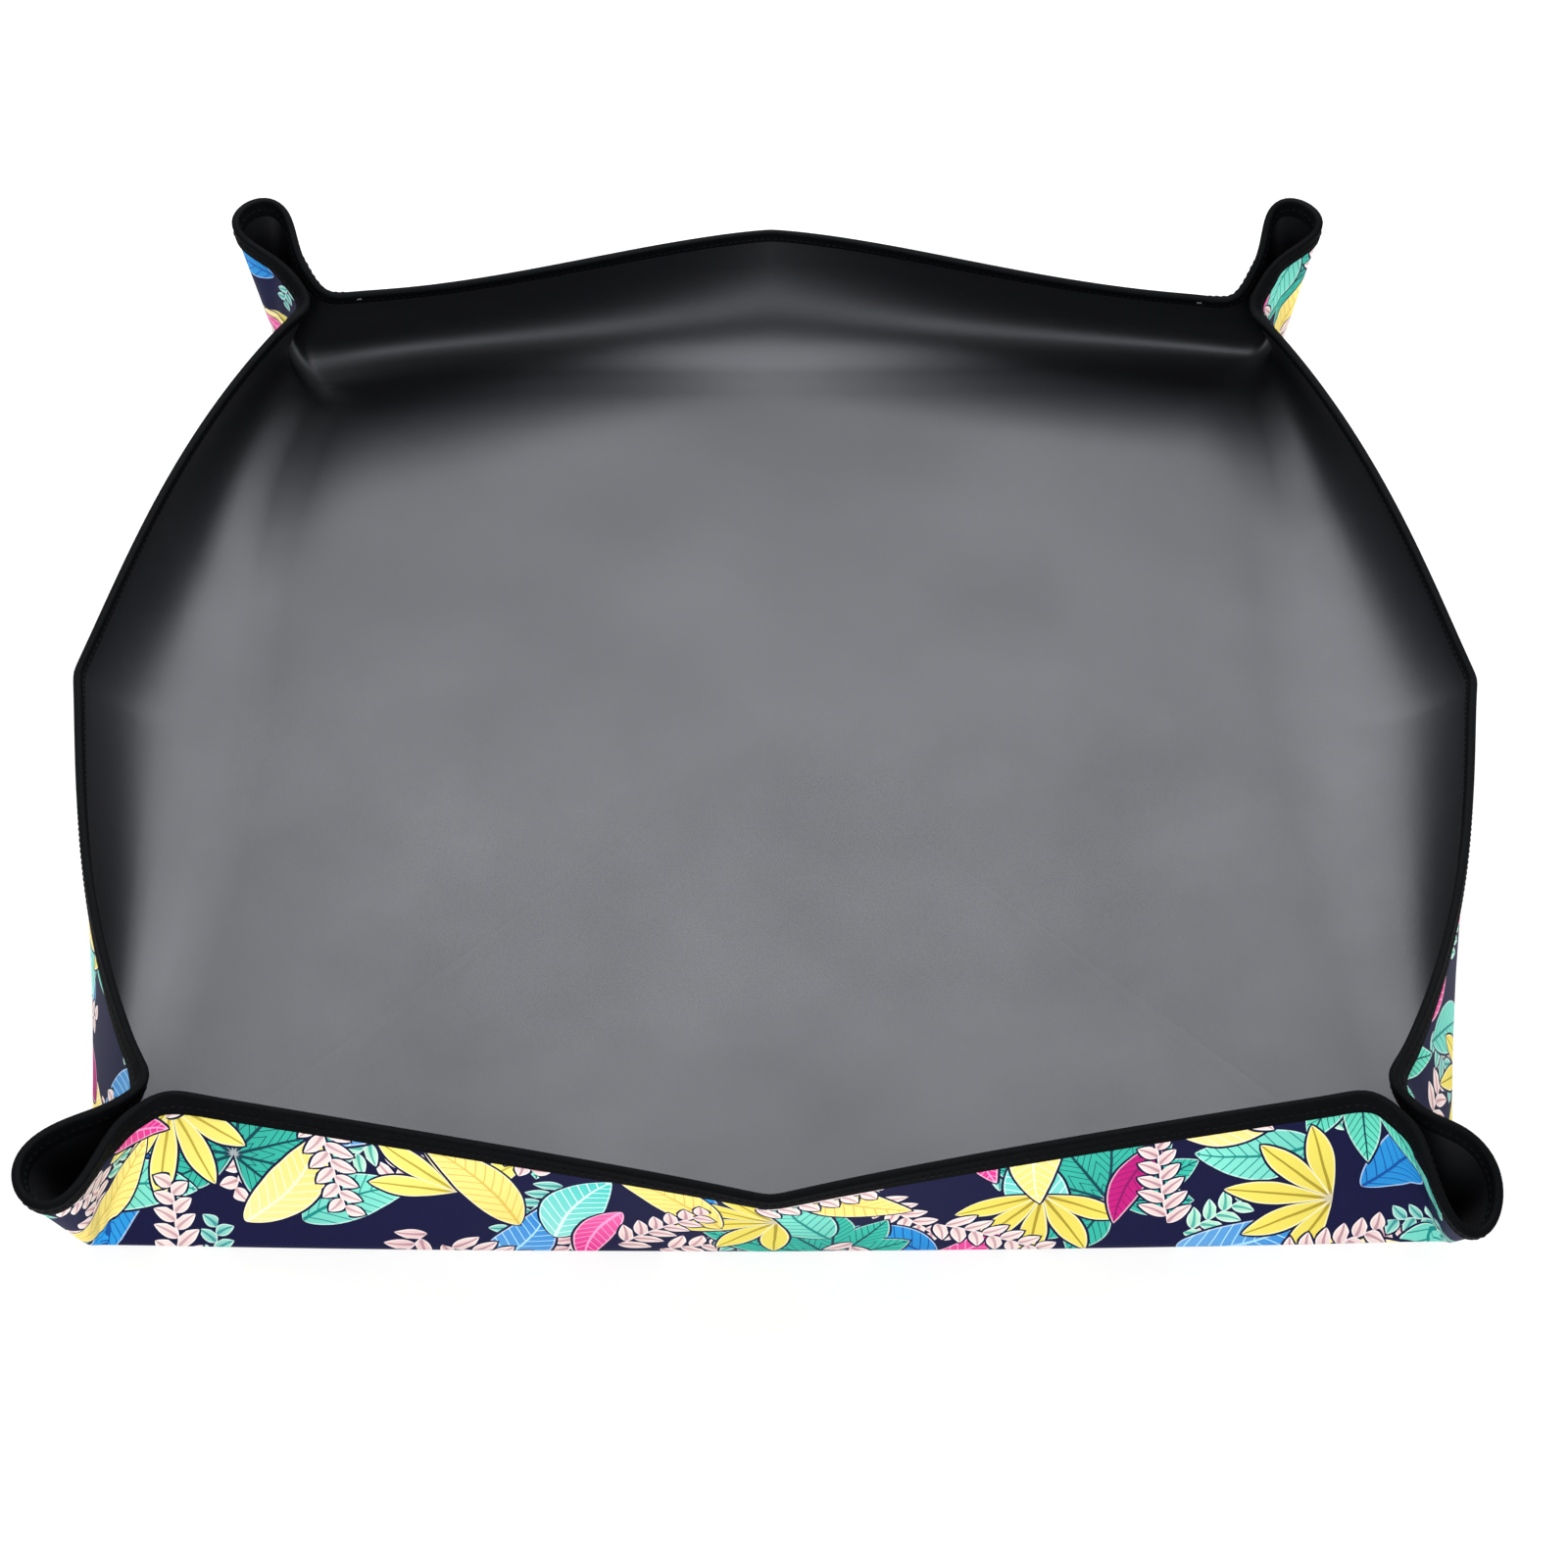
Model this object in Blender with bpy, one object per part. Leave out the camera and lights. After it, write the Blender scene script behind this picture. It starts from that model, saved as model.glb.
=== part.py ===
"""Square repotting mat whose four corners are pinched and snapped up to make a shallow tray.

Two plies of cloth lie face to face: a coated liner inside and a printed cover outside. One binding tape
is folded over their edge all round. At each corner the two walls meet in a narrow neck, held by a press
stud that is set through the liner and hidden behind the cover, and the corner beyond the neck stands out
as an open, drop-shaped ear.

Metres, +Z up. The origin is the centre of the fold square, on the underside that rests on the table.
The front is at -Y. A place on the sheet is found on the flat pattern first: how far along the edge from
the middle of a side, and how far down from the edge. The edge is then a curve in space, and each line
that runs down from it ends at the fold, rounds it and joins the flat floor.
"""

import math
from dataclasses import dataclass

import bmesh
import bpy
from mathutils import Matrix, Vector

# Flat pattern of the sheet
SHEET_SIDE = 0.680
SHEET_CORNER_RADIUS = 0.050
NECK_FROM_CORNER = 0.090
WALL_WIDTH = 0.0675

# Plies and tape
LINER_THICKNESS = 0.0009
COVER_THICKNESS = 0.0008
TAPE_THICKNESS = 0.0006
TAPE_WIDTH = 0.006
TAPE_GAP = 0.0005
TOUCH_GAP = 0.0003

# Fold between floor and walls: its rounding, how far it bows out, and how far the back corners are drawn in
FRONT_FOLD_ROUNDING = 0.004
BACK_FOLD_ROUNDING = 0.034
SIDE_FOLD_ROUNDING = 0.037
FRONT_CORNER_ROUNDING = 0.004
BACK_CORNER_ROUNDING = 0.018
ROUNDING_LIMIT_share = 0.6
FRONT_FOLD_BOW = 0.0031
RIGHT_FOLD_BOW = 0.0275
LEFT_FOLD_BOW = 0.0220
BOW_POWER = 2.4
BACK_RIGHT_DRAWN_IN = 0.0080
BACK_LEFT_DRAWN_IN = 0.0260
DRAWN_IN_POWER = 4

# Walls at the middle of each side: angle from the floor, and how pointed the kink in the edge is
FRONT_WALL_ANGLE = math.radians(77)
BACK_WALL_ANGLE = math.radians(85)
RIGHT_WALL_ANGLE = math.radians(64.5)
LEFT_WALL_ANGLE = math.radians(68)
FRONT_KINK_POWER = 0.90
BACK_BELL_POWER = 0.67
RIGHT_KINK_POWER = 0.80
LEFT_KINK_POWER = 0.86
KINK_SOFTNESS_share = 0.02

# Necks: how far the edge leans in past the fold, its height, and the length of edge that turns into it
FRONT_RIGHT_NECK_LEAN = 0.0325
FRONT_RIGHT_NECK_HEIGHT = 0.0600
BACK_RIGHT_NECK_LEAN = 0.0355
BACK_RIGHT_NECK_HEIGHT = 0.0560
BACK_LEFT_NECK_LEAN = 0.0480
BACK_LEFT_NECK_HEIGHT = 0.0710
FRONT_LEFT_NECK_LEAN = 0.0320
FRONT_LEFT_NECK_HEIGHT = 0.0630
NECK_TURN = 0.016

# Ears: reach along the diagonal from the neck, height of the tip, half width, fullness towards the tip,
# how far the tip turns round the mat, and how much of its fall comes past the straight part
FRONT_RIGHT_EAR_REACH = 0.0600
FRONT_RIGHT_EAR_TIP_HEIGHT = 0.0380
FRONT_RIGHT_EAR_HALF_WIDTH = 0.0123
FRONT_RIGHT_EAR_POWER = 1.15
FRONT_RIGHT_EAR_TURN = -0.0090
FRONT_RIGHT_EAR_DROOP = 0.0140
BACK_RIGHT_EAR_REACH = 0.0360
BACK_RIGHT_EAR_TIP_HEIGHT = 0.0980
BACK_RIGHT_EAR_HALF_WIDTH = 0.0115
BACK_RIGHT_EAR_POWER = 2.3
BACK_RIGHT_EAR_TURN = -0.0035
BACK_LEFT_EAR_REACH = 0.0440
BACK_LEFT_EAR_TIP_HEIGHT = 0.1040
BACK_LEFT_EAR_HALF_WIDTH = 0.0115
BACK_LEFT_EAR_POWER = 2.0
BACK_LEFT_EAR_TURN = 0.0015
FRONT_LEFT_EAR_REACH = 0.0650
FRONT_LEFT_EAR_TIP_HEIGHT = 0.0700
FRONT_LEFT_EAR_HALF_WIDTH = 0.0120
FRONT_LEFT_EAR_POWER = 1.5
FRONT_LEFT_EAR_TURN = 0.0100

# Press studs
SNAP_BELOW_EDGE = 0.0110
SNAP_CLOSED_HEIGHT = 0.0040
SNAP_FLANGE_RADIUS = 0.0035
SNAP_FLANGE_THICKNESS = 0.0006
STUD_HEAD_RADIUS = 0.0017
STUD_WAIST_RADIUS = 0.0014
SOCKET_MOUTH_RADIUS = 0.0020
SOCKET_BODY_RADIUS = 0.0030
SHANK_RADIUS = 0.0008
BACKING_RADIUS = 0.0023
BACKING_THICKNESS = 0.0006
POCKET_SLACK = 0.0009
POCKET_FULL_REACH = 0.016
POCKET_FADE = 0.014

# Mesh counts, and the step along the edge that its direction is read over
EDGE_STEP_share = 0.01
WALL_STATIONS = 8
EAR_STATIONS = 6
TIP_CROWDING_POWER = 1.2
DENSE_STEPS = 24
SNAP_SEGMENTS = 14
HOLE_SEGMENTS = 6
SHARP_ANGLE = math.radians(40)

DIAGONAL = math.sqrt(2)
FOLD_HALF = SHEET_SIDE / 2 - WALL_WIDTH
NECK_ALONG = SHEET_SIDE / 2 - NECK_FROM_CORNER
EAR_EDGE = NECK_FROM_CORNER - SHEET_CORNER_RADIUS + SHEET_CORNER_RADIUS * math.pi / 4
STACK = LINER_THICKNESS + TOUCH_GAP + COVER_THICKNESS
POCKET_DEPTH = BACKING_THICKNESS + TOUCH_GAP + POCKET_SLACK
# Room on the cloth from the stud's centre to where the walls turn apart
NECK_ROOM = SNAP_FLANGE_RADIUS + POCKET_DEPTH
# Half the room between the liner faces at a neck, and the fold's corner, rounded so that they stay parallel
NECK_HALF_GAP = SNAP_CLOSED_HEIGHT / 2 + 2 * TOUCH_GAP
FOLD_CORNER_RADIUS = NECK_HALF_GAP * DIAGONAL
# How far the pocket is open at each row from floor to edge
POCKET_ROW_shares = (0.0, 0.0, 0.4, 1.0, 0.0)


@dataclass
class Wall:
    """One side of the tray, seen from its middle."""

    out: Vector
    angle: float
    kink_power: float
    rounding: float
    bow: float = 0
    bell: bool = False


@dataclass
class Corner:
    """One pinched corner: its neck and its ear."""

    name: str
    x_sign: int
    y_sign: int
    neck_lean: float
    neck_height: float
    ear_reach: float
    ear_tip_height: float
    ear_half_width: float
    ear_power: float
    rounding: float
    ear_turn: float
    ear_droop: float = 0
    drawn_in: float = 0

    @property
    def outward(self):
        return Vector((self.x_sign, self.y_sign, 0)).normalized()

    @property
    def neck(self):
        """Where the edges meet, on the diagonal."""
        return self.outward * ((FOLD_HALF - self.neck_lean) * DIAGONAL) + Vector((0, 0, self.neck_height))

    @property
    def to_tip(self):
        """From the neck to where the tip would be if the ear was straight."""
        rise = self.ear_tip_height + self.ear_droop - self.neck_height
        return self.outward * self.ear_reach + Vector((0, 0, rise))

    @property
    def edge_direction(self):
        """Along the edge at the neck, towards the tip of the ear."""
        return self.to_tip.normalized()

    @property
    def fold_straight(self):
        """How far the straight part of the fold runs from the middle of a side."""
        return FOLD_HALF - self.drawn_in - FOLD_CORNER_RADIUS

    @property
    def snap_past_neck(self):
        """How far past the neck the press stud sits, clear of where the walls turn apart below it."""
        away = self.fold_straight * DIAGONAL + FOLD_CORNER_RADIUS / DIAGONAL
        to_fold = self.outward * away - self.neck
        lean = to_fold.dot(self.edge_direction)
        depth = (to_fold - self.edge_direction * lean).length
        slope = lean / (depth - TAPE_WIDTH)
        return slope * (SNAP_BELOW_EDGE - TAPE_WIDTH) + NECK_ROOM * math.hypot(1, slope)

    @property
    def neck_straight(self):
        """How long the two edges run side by side before the ear opens."""
        return self.snap_past_neck + NECK_ROOM


@dataclass
class Column:
    """One line of the liner's inner face, floor first."""

    points: list
    pocket_share: float
    towards_corner: bool


def mix(a, b, share):
    return a + (b - a) * share


FRONT = Wall(Vector((0, -1, 0)), FRONT_WALL_ANGLE, FRONT_KINK_POWER, FRONT_FOLD_ROUNDING, FRONT_FOLD_BOW)
RIGHT = Wall(Vector((1, 0, 0)), RIGHT_WALL_ANGLE, RIGHT_KINK_POWER, SIDE_FOLD_ROUNDING, RIGHT_FOLD_BOW)
BACK = Wall(Vector((0, 1, 0)), BACK_WALL_ANGLE, BACK_BELL_POWER, BACK_FOLD_ROUNDING, bell=True)
LEFT = Wall(Vector((-1, 0, 0)), LEFT_WALL_ANGLE, LEFT_KINK_POWER, SIDE_FOLD_ROUNDING, LEFT_FOLD_BOW)

FRONT_RIGHT = Corner(
    "front_right", 1, -1, FRONT_RIGHT_NECK_LEAN, FRONT_RIGHT_NECK_HEIGHT,
    FRONT_RIGHT_EAR_REACH, FRONT_RIGHT_EAR_TIP_HEIGHT, FRONT_RIGHT_EAR_HALF_WIDTH, FRONT_RIGHT_EAR_POWER,
    FRONT_CORNER_ROUNDING, FRONT_RIGHT_EAR_TURN, ear_droop=FRONT_RIGHT_EAR_DROOP,
)
BACK_RIGHT = Corner(
    "back_right", 1, 1, BACK_RIGHT_NECK_LEAN, BACK_RIGHT_NECK_HEIGHT,
    BACK_RIGHT_EAR_REACH, BACK_RIGHT_EAR_TIP_HEIGHT, BACK_RIGHT_EAR_HALF_WIDTH, BACK_RIGHT_EAR_POWER,
    BACK_CORNER_ROUNDING, BACK_RIGHT_EAR_TURN, drawn_in=BACK_RIGHT_DRAWN_IN,
)
BACK_LEFT = Corner(
    "back_left", -1, 1, BACK_LEFT_NECK_LEAN, BACK_LEFT_NECK_HEIGHT,
    BACK_LEFT_EAR_REACH, BACK_LEFT_EAR_TIP_HEIGHT, BACK_LEFT_EAR_HALF_WIDTH, BACK_LEFT_EAR_POWER,
    BACK_CORNER_ROUNDING, BACK_LEFT_EAR_TURN, drawn_in=BACK_LEFT_DRAWN_IN,
)
FRONT_LEFT = Corner(
    "front_left", -1, -1, FRONT_LEFT_NECK_LEAN, FRONT_LEFT_NECK_HEIGHT,
    FRONT_LEFT_EAR_REACH, FRONT_LEFT_EAR_TIP_HEIGHT, FRONT_LEFT_EAR_HALF_WIDTH, FRONT_LEFT_EAR_POWER,
    FRONT_CORNER_ROUNDING, FRONT_LEFT_EAR_TURN,
)
# Counter-clockwise from above: each corner with the wall before it and the wall after it
ROUND_THE_MAT = (
    (FRONT_RIGHT, FRONT, RIGHT), (BACK_RIGHT, RIGHT, BACK), (BACK_LEFT, BACK, LEFT), (FRONT_LEFT, LEFT, FRONT),
)


def along_wall(wall, corner):
    """Along the wall, towards the corner."""
    return (corner.outward - wall.out * corner.outward.dot(wall.out)).normalized()


def across_ear(wall, corner):
    """Across the ear, towards the wall's side of it."""
    return (wall.out - corner.outward * wall.out.dot(corner.outward)).normalized()


def wall_edge(wall, corner, share):
    """Point of the wall's upper edge: share 0 is the middle of the side, 1 is the neck."""
    soft = KINK_SOFTNESS_share
    turned = ((math.hypot(share, soft) - soft) / (math.hypot(1, soft) - soft)) ** wall.kink_power
    if wall.bell:
        turned = (1 - math.cos(math.pi * share**wall.kink_power)) / 2
    neck_angle = math.atan2(corner.neck_height, -corner.neck_lean)
    neck_width = math.hypot(corner.neck_height, corner.neck_lean)
    angle = mix(wall.angle, neck_angle, turned)
    width = mix(WALL_WIDTH - wall.bow, neck_width, share**2)
    reach = FOLD_HALF + wall.bow * (1 - share**BOW_POWER) + width * math.cos(angle)
    sideways = share * (FOLD_HALF - corner.neck_lean)
    rise = Vector((0, 0, width * math.sin(angle)))
    return along_wall(wall, corner) * sideways + wall.out * reach + rise


def ear_edge(wall, corner, share):
    """Point of the ear's edge on the side of one wall: share 0 is the neck, 1 is the tip."""
    along = 1 - (1 - share) ** 2
    straight = corner.neck_straight / corner.ear_reach
    opened = max(0, along - straight) / (1 - straight)
    power = corner.ear_power
    fullest = power / (power + 0.5)
    peak = fullest**power * math.sqrt(1 - fullest)
    swell = opened**power * math.sqrt(1 - opened) / peak
    sideways = NECK_HALF_GAP * (1 - opened**2) + corner.ear_half_width * swell
    bent = Vector((0, 0, 1)).cross(corner.outward) * corner.ear_turn - Vector((0, 0, corner.ear_droop))
    return corner.neck + corner.to_tip * along + across_ear(wall, corner) * sideways + bent * opened**2


def bezier(points, share):
    """Point of a cubic Bezier curve."""
    a, b, c, d = points
    rest = 1 - share
    return a * rest**3 + b * (3 * rest**2 * share) + c * (3 * rest * share**2) + d * share**3


def half_edge(wall, corner):
    """The edge from the middle of a side to the tip of the ear, as (distance on the flat edge, point)."""
    wall_share = 1 - NECK_TURN / (FOLD_HALF - corner.neck_lean)
    step = 1 / DENSE_STEPS
    straight = [wall_edge(wall, corner, wall_share * i * step) for i in range(DENSE_STEPS + 1)]
    ear = [ear_edge(wall, corner, i * step) for i in range(DENSE_STEPS + 1)]
    start, end = straight[-1], ear[0]
    handle = (end - start).length / 2
    turn = (
        start,
        start + (straight[-1] - straight[-2]).normalized() * handle,
        end - corner.edge_direction * handle,
        end,
    )
    bend = [bezier(turn, i * step) for i in range(1, DENSE_STEPS)]
    return on_flat(straight + bend + [end], 0, NECK_ALONG) + on_flat(ear, NECK_ALONG, EAR_EDGE)[1:]


def on_flat(points, start, length):
    """Pair each point with its distance along the flat edge, in step with its distance in space."""
    travelled = [0.0]
    for a, b in zip(points, points[1:]):
        travelled.append(travelled[-1] + (b - a).length)
    return [(start + length * done / travelled[-1], p) for done, p in zip(travelled, points)]


def edge_point(edge, distance):
    """Point of the edge at a distance along the flat edge."""
    for (near, a), (far, b) in zip(edge, edge[1:]):
        if distance <= far:
            return a.lerp(b, (distance - near) / (far - near))
    return edge[-1][1]


def fold_point(wall, corner, distance):
    """Where the line down from the edge meets the fold, and how far the fold is rounded there."""
    along, out, straight = along_wall(wall, corner), wall.out, corner.fold_straight
    if distance <= NECK_ALONG:
        share = distance / NECK_ALONG
        bow = wall.bow * (1 - share**BOW_POWER)
        reach = FOLD_HALF + bow - corner.drawn_in * share**DRAWN_IN_POWER
        return along * (straight * share) + out * reach, mix(wall.rounding, corner.rounding, share**2)
    turned = math.pi / 4 * (distance - NECK_ALONG) / EAR_EDGE
    away = out * math.cos(turned) + along * math.sin(turned)
    return (along + out) * straight + away * FOLD_CORNER_RADIUS, corner.rounding


def line_down(wall, corner, edge, distance):
    """The liner's inner face along one line, floor first: five points."""
    fold, rounding = fold_point(wall, corner, distance)
    rim = edge_point(edge, distance)
    rise = rim - fold
    rounded = min(rounding, rise.length * ROUNDING_LIMIT_share)
    start = fold * (1 - rounding / FOLD_HALF)
    leave = fold + rise.normalized() * rounded
    bend = start * 0.25 + fold * 0.5 + leave * 0.25
    step = NECK_ALONG * EDGE_STEP_share
    edge_direction = edge_point(edge, distance + step) - edge_point(edge, abs(distance - step))
    if distance == 0:
        edge_direction = wall.out.cross(Vector((0, 0, 1)))
    edge_direction.normalize()
    down = (-rise + edge_direction * rise.dot(edge_direction)).normalized()
    lift = Vector((0, 0, STACK))
    return [row + lift for row in (start, bend, leave, rim + down * TAPE_WIDTH, rim)]


def stations():
    """Distances along the flat edge, from the middle of a side to the tip of the ear."""
    wall = [NECK_ALONG * (1 - math.cos(math.pi * i / WALL_STATIONS)) / 2 for i in range(WALL_STATIONS + 1)]
    left = [1 - i / EAR_STATIONS for i in range(1, EAR_STATIONS + 1)]
    ear = [NECK_ALONG + EAR_EDGE * (1 - share**TIP_CROWDING_POWER) for share in left]
    return wall + ear


def pocket_share(corner, distance):
    """How far the cover stands off the liner at this station, to hold the stud's backing."""
    off = abs(distance - NECK_ALONG - corner.snap_past_neck)
    return min(1, max(0, 1 - (off - POCKET_FULL_REACH) / POCKET_FADE))


def inner_face():
    """The liner's inner face as columns, counter-clockwise round the mat."""
    columns = []
    for corner, wall_in, wall_out in ROUND_THE_MAT:
        edge_in = half_edge(wall_in, corner)
        edge_out = half_edge(wall_out, corner)
        for distance in stations()[:-1]:
            points = line_down(wall_in, corner, edge_in, distance)
            columns.append(Column(points, pocket_share(corner, distance), True))
        for distance in reversed(stations()[1:]):
            points = line_down(wall_out, corner, edge_out, distance)
            columns.append(Column(points, pocket_share(corner, distance), False))
    return columns


def split_strip(bm, lower, upper, next_lower, next_upper, towards_corner):
    """Two triangles between neighbouring columns, cut alike on every ply and on both sides of a corner."""
    if towards_corner:
        bm.faces.new((lower, upper, next_upper))
        bm.faces.new((lower, next_upper, next_lower))
    else:
        bm.faces.new((next_lower, next_upper, upper))
        bm.faces.new((next_lower, upper, lower))


def strip_grid(bm, grid, columns):
    """The faces of a grid of vertices that closes round the mat."""
    for i, column in enumerate(columns):
        near, far = grid[i], grid[(i + 1) % len(grid)]
        for j in range(len(near) - 1):
            split_strip(bm, near[j], near[j + 1], far[j], far[j + 1], column.towards_corner)


def away_from_tray(columns):
    """Unit normals of the inner face that point out of the tray, one for each of its points."""
    bm = bmesh.new()
    grid = [[bm.verts.new(point) for point in column.points] for column in columns]
    strip_grid(bm, grid, columns)
    bmesh.ops.recalc_face_normals(bm, faces=bm.faces)
    bm.normal_update()
    outward = 1 if grid[0][-1].normal.dot(columns[0].points[-1]) > 0 else -1
    normals = [[Vector((0, 0, -1))] + [vert.normal * outward for vert in line[1:]] for line in grid]
    bm.free()
    return normals


def new_object(name, bm, material):
    mesh = bpy.data.meshes.new(name)
    bm.to_mesh(mesh)
    bm.free()
    obj = bpy.data.objects.new(name, mesh)
    bpy.context.scene.collection.objects.link(obj)
    mesh.materials.append(material)
    mesh.shade_smooth()
    mesh.set_sharp_from_angle(angle=SHARP_ANGLE)
    return obj


def ply(name, columns, normals, near, far, material, pocket=0):
    """A closed sheet between two distances from the inner face."""
    bm = bmesh.new()

    def face_grid(distance):
        grid = []
        for column, column_normals in zip(columns, normals):
            offsets = [distance + pocket * column.pocket_share * row for row in POCKET_ROW_shares]
            places = zip(column.points, column_normals, offsets)
            grid.append([bm.verts.new(point + normal * offset) for point, normal, offset in places])
        return grid

    top, bottom = face_grid(near), face_grid(far)
    strip_grid(bm, top, columns)
    strip_grid(bm, bottom, columns)
    for i in range(len(columns)):
        k = (i + 1) % len(columns)
        bm.faces.new((top[i][-1], bottom[i][-1], bottom[k][-1], top[k][-1]))
    bm.faces.new([line[0] for line in top])
    bm.faces.new([line[0] for line in reversed(bottom)])
    bmesh.ops.recalc_face_normals(bm, faces=bm.faces)
    return new_object(name, bm, material)


def edge_binding(columns, normals, material):
    """The tape folded over the edge of both plies: a U in section, all round the mat."""
    inner, outer = TAPE_GAP, TAPE_GAP + TAPE_THICKNESS
    section = (
        (TAPE_WIDTH, -outer), (-outer, -outer), (-outer, STACK + outer), (TAPE_WIDTH, STACK + outer),
        (TAPE_WIDTH, STACK + inner), (-inner, STACK + inner), (-inner, -inner), (TAPE_WIDTH, -inner),
    )
    bm = bmesh.new()
    rings = []
    for column, column_normals in zip(columns, normals):
        under_tape, rim = column.points[-2:]
        down = (under_tape - rim).normalized()
        ring = []
        for depth, height in section:
            share = max(0, depth) / TAPE_WIDTH
            stand_off = height + (POCKET_DEPTH * column.pocket_share * share if height > STACK else 0)
            normal = column_normals[-1].lerp(column_normals[-2], share)
            ring.append(bm.verts.new(rim + down * depth + normal * stand_off))
        rings.append(ring)
    for i, ring in enumerate(rings):
        following = rings[(i + 1) % len(rings)]
        for j in range(len(section)):
            k = (j + 1) % len(section)
            low, high = (j, k) if section[j][0] > section[k][0] else (k, j)
            split_strip(bm, ring[low], ring[high], following[low], following[high], columns[i].towards_corner)
    bmesh.ops.recalc_face_normals(bm, faces=bm.faces)
    return new_object("edge_binding", bm, material)


def turned_piece(name, profile, segments, parent, material):
    """A turned piece: its profile of (radius, height) starts and ends on the parent's Z axis."""
    bm = bmesh.new()
    points = [bm.verts.new((radius, 0, height)) for radius, height in profile]
    outline = [bm.edges.new(pair) for pair in zip(points, points[1:])]
    bmesh.ops.spin(
        bm, geom=points + outline, cent=(0, 0, 0), axis=(0, 0, 1), angle=math.tau, steps=segments,
    )
    bmesh.ops.remove_doubles(bm, verts=bm.verts, dist=TOUCH_GAP / 100)
    bmesh.ops.recalc_face_normals(bm, faces=bm.faces)
    obj = new_object(name, bm, material)
    obj.parent = parent
    return obj


def stud_profile(back):
    """Stud half: flange against the liner, waist and head reaching through to the socket."""
    face = back - SNAP_FLANGE_THICKNESS
    head_end = -back + SNAP_FLANGE_THICKNESS + TOUCH_GAP
    head_start = mix(face, head_end, 0.5)
    hole = SHANK_RADIUS + TOUCH_GAP
    return (
        (0, head_end), (STUD_HEAD_RADIUS * 0.7, head_end), (STUD_HEAD_RADIUS, mix(head_end, head_start, 0.4)),
        (STUD_WAIST_RADIUS, head_start), (STUD_WAIST_RADIUS, face), (SNAP_FLANGE_RADIUS, face),
        (SNAP_FLANGE_RADIUS, back), (hole, back), (hole, face - TOUCH_GAP), (0, face - TOUCH_GAP),
    )


def socket_profile(back):
    """Socket half: flange against the liner and a body whose mouth takes the stud's head."""
    face = -back + SNAP_FLANGE_THICKNESS
    mouth = back - SNAP_FLANGE_THICKNESS - TOUCH_GAP
    hole = SHANK_RADIUS + TOUCH_GAP
    return (
        (hole, -back), (SNAP_FLANGE_RADIUS, -back), (SNAP_FLANGE_RADIUS, face), (SOCKET_BODY_RADIUS, face),
        (SOCKET_BODY_RADIUS * 0.9, mouth), (SOCKET_MOUTH_RADIUS, mouth), (SOCKET_MOUTH_RADIUS, face),
        (hole, face), (hole, -back),
    )


def backing_profile(back, shank_end, side):
    """Backing behind the liner: a plate with a shank that goes through to the stud or the socket."""
    plate = back + 3 * TOUCH_GAP + LINER_THICKNESS
    return (
        (0, side * shank_end), (SHANK_RADIUS, side * shank_end), (SHANK_RADIUS, side * plate),
        (BACKING_RADIUS, side * plate), (BACKING_RADIUS, side * (plate + BACKING_THICKNESS)),
        (0, side * (plate + BACKING_THICKNESS)),
    )


def snap_frame(wall, corner):
    """Empty on the diagonal between the two liner faces, its Z axis square to both."""
    edge = corner.edge_direction
    across = across_ear(wall, corner)
    down = edge.cross(across)
    down *= -1 if down.z > 0 else 1
    centre = corner.neck + edge * corner.snap_past_neck + down * SNAP_BELOW_EDGE + Vector((0, 0, STACK))
    frame = bpy.data.objects.new("snap_" + corner.name, None)
    bpy.context.scene.collection.objects.link(frame)
    frame.matrix_world = Matrix.Translation(centre) @ across.to_track_quat("Z", "Y").to_matrix().to_4x4()
    return frame


def press_stud(wall, corner, liner, material):
    """The four pieces of one closed press stud, and its two holes in the liner."""
    frame = snap_frame(wall, corner)
    back = SNAP_CLOSED_HEIGHT / 2
    shank_in_stud = back - SNAP_FLANGE_THICKNESS
    pieces = (
        ("stud", stud_profile(back)),
        ("socket", socket_profile(back)),
        ("stud_backing", backing_profile(back, shank_in_stud, 1)),
        ("socket_backing", backing_profile(back, shank_in_stud, -1)),
    )
    for name, profile in pieces:
        turned_piece(f"{name}_{corner.name}", profile, SNAP_SEGMENTS, frame, material)
    for side in (1, -1):
        hole = SHANK_RADIUS + TOUCH_GAP
        near, far = back, back + LINER_THICKNESS + 4 * TOUCH_GAP
        profile = ((0, side * near), (hole, side * near), (hole, side * far), (0, side * far))
        cutter = turned_piece(f"hole_{corner.name}_{side}", profile, HOLE_SEGMENTS, frame, material)
        cutter.hide_render = True
        cutter.display_type = "WIRE"
        cut = liner.modifiers.new("hole", "BOOLEAN")
        cut.operation = "DIFFERENCE"
        cut.object = cutter


def finish(name, colour, roughness, metallic):
    material = bpy.data.materials.new(name)
    material.use_nodes = True
    shader = material.node_tree.nodes["Principled BSDF"]
    shader.inputs["Base Color"].default_value = (*colour, 1)
    shader.inputs["Roughness"].default_value = roughness
    shader.inputs["Metallic"].default_value = metallic
    material.diffuse_color = (*colour, 1)
    return material


def clear_scene():
    for obj in list(bpy.data.objects):
        bpy.data.objects.remove(obj, do_unlink=True)


def build():
    clear_scene()
    coated = finish("coated_cloth", (0.020, 0.021, 0.024), 0.38, 0)
    printed = finish("printed_cloth", (0.030, 0.060, 0.160), 0.70, 0)
    tape = finish("binding_tape", (0.012, 0.012, 0.014), 0.60, 0)
    steel = finish("blackened_steel", (0.100, 0.100, 0.105), 0.35, 1)
    columns = inner_face()
    normals = away_from_tray(columns)
    liner = ply("coated_liner", columns, normals, 0, LINER_THICKNESS, coated)
    ply("printed_cover", columns, normals, LINER_THICKNESS + TOUCH_GAP, STACK, printed, pocket=POCKET_DEPTH)
    edge_binding(columns, normals, tape)
    for corner, wall, _ in ROUND_THE_MAT:
        press_stud(wall, corner, liner, steel)


build()
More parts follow.
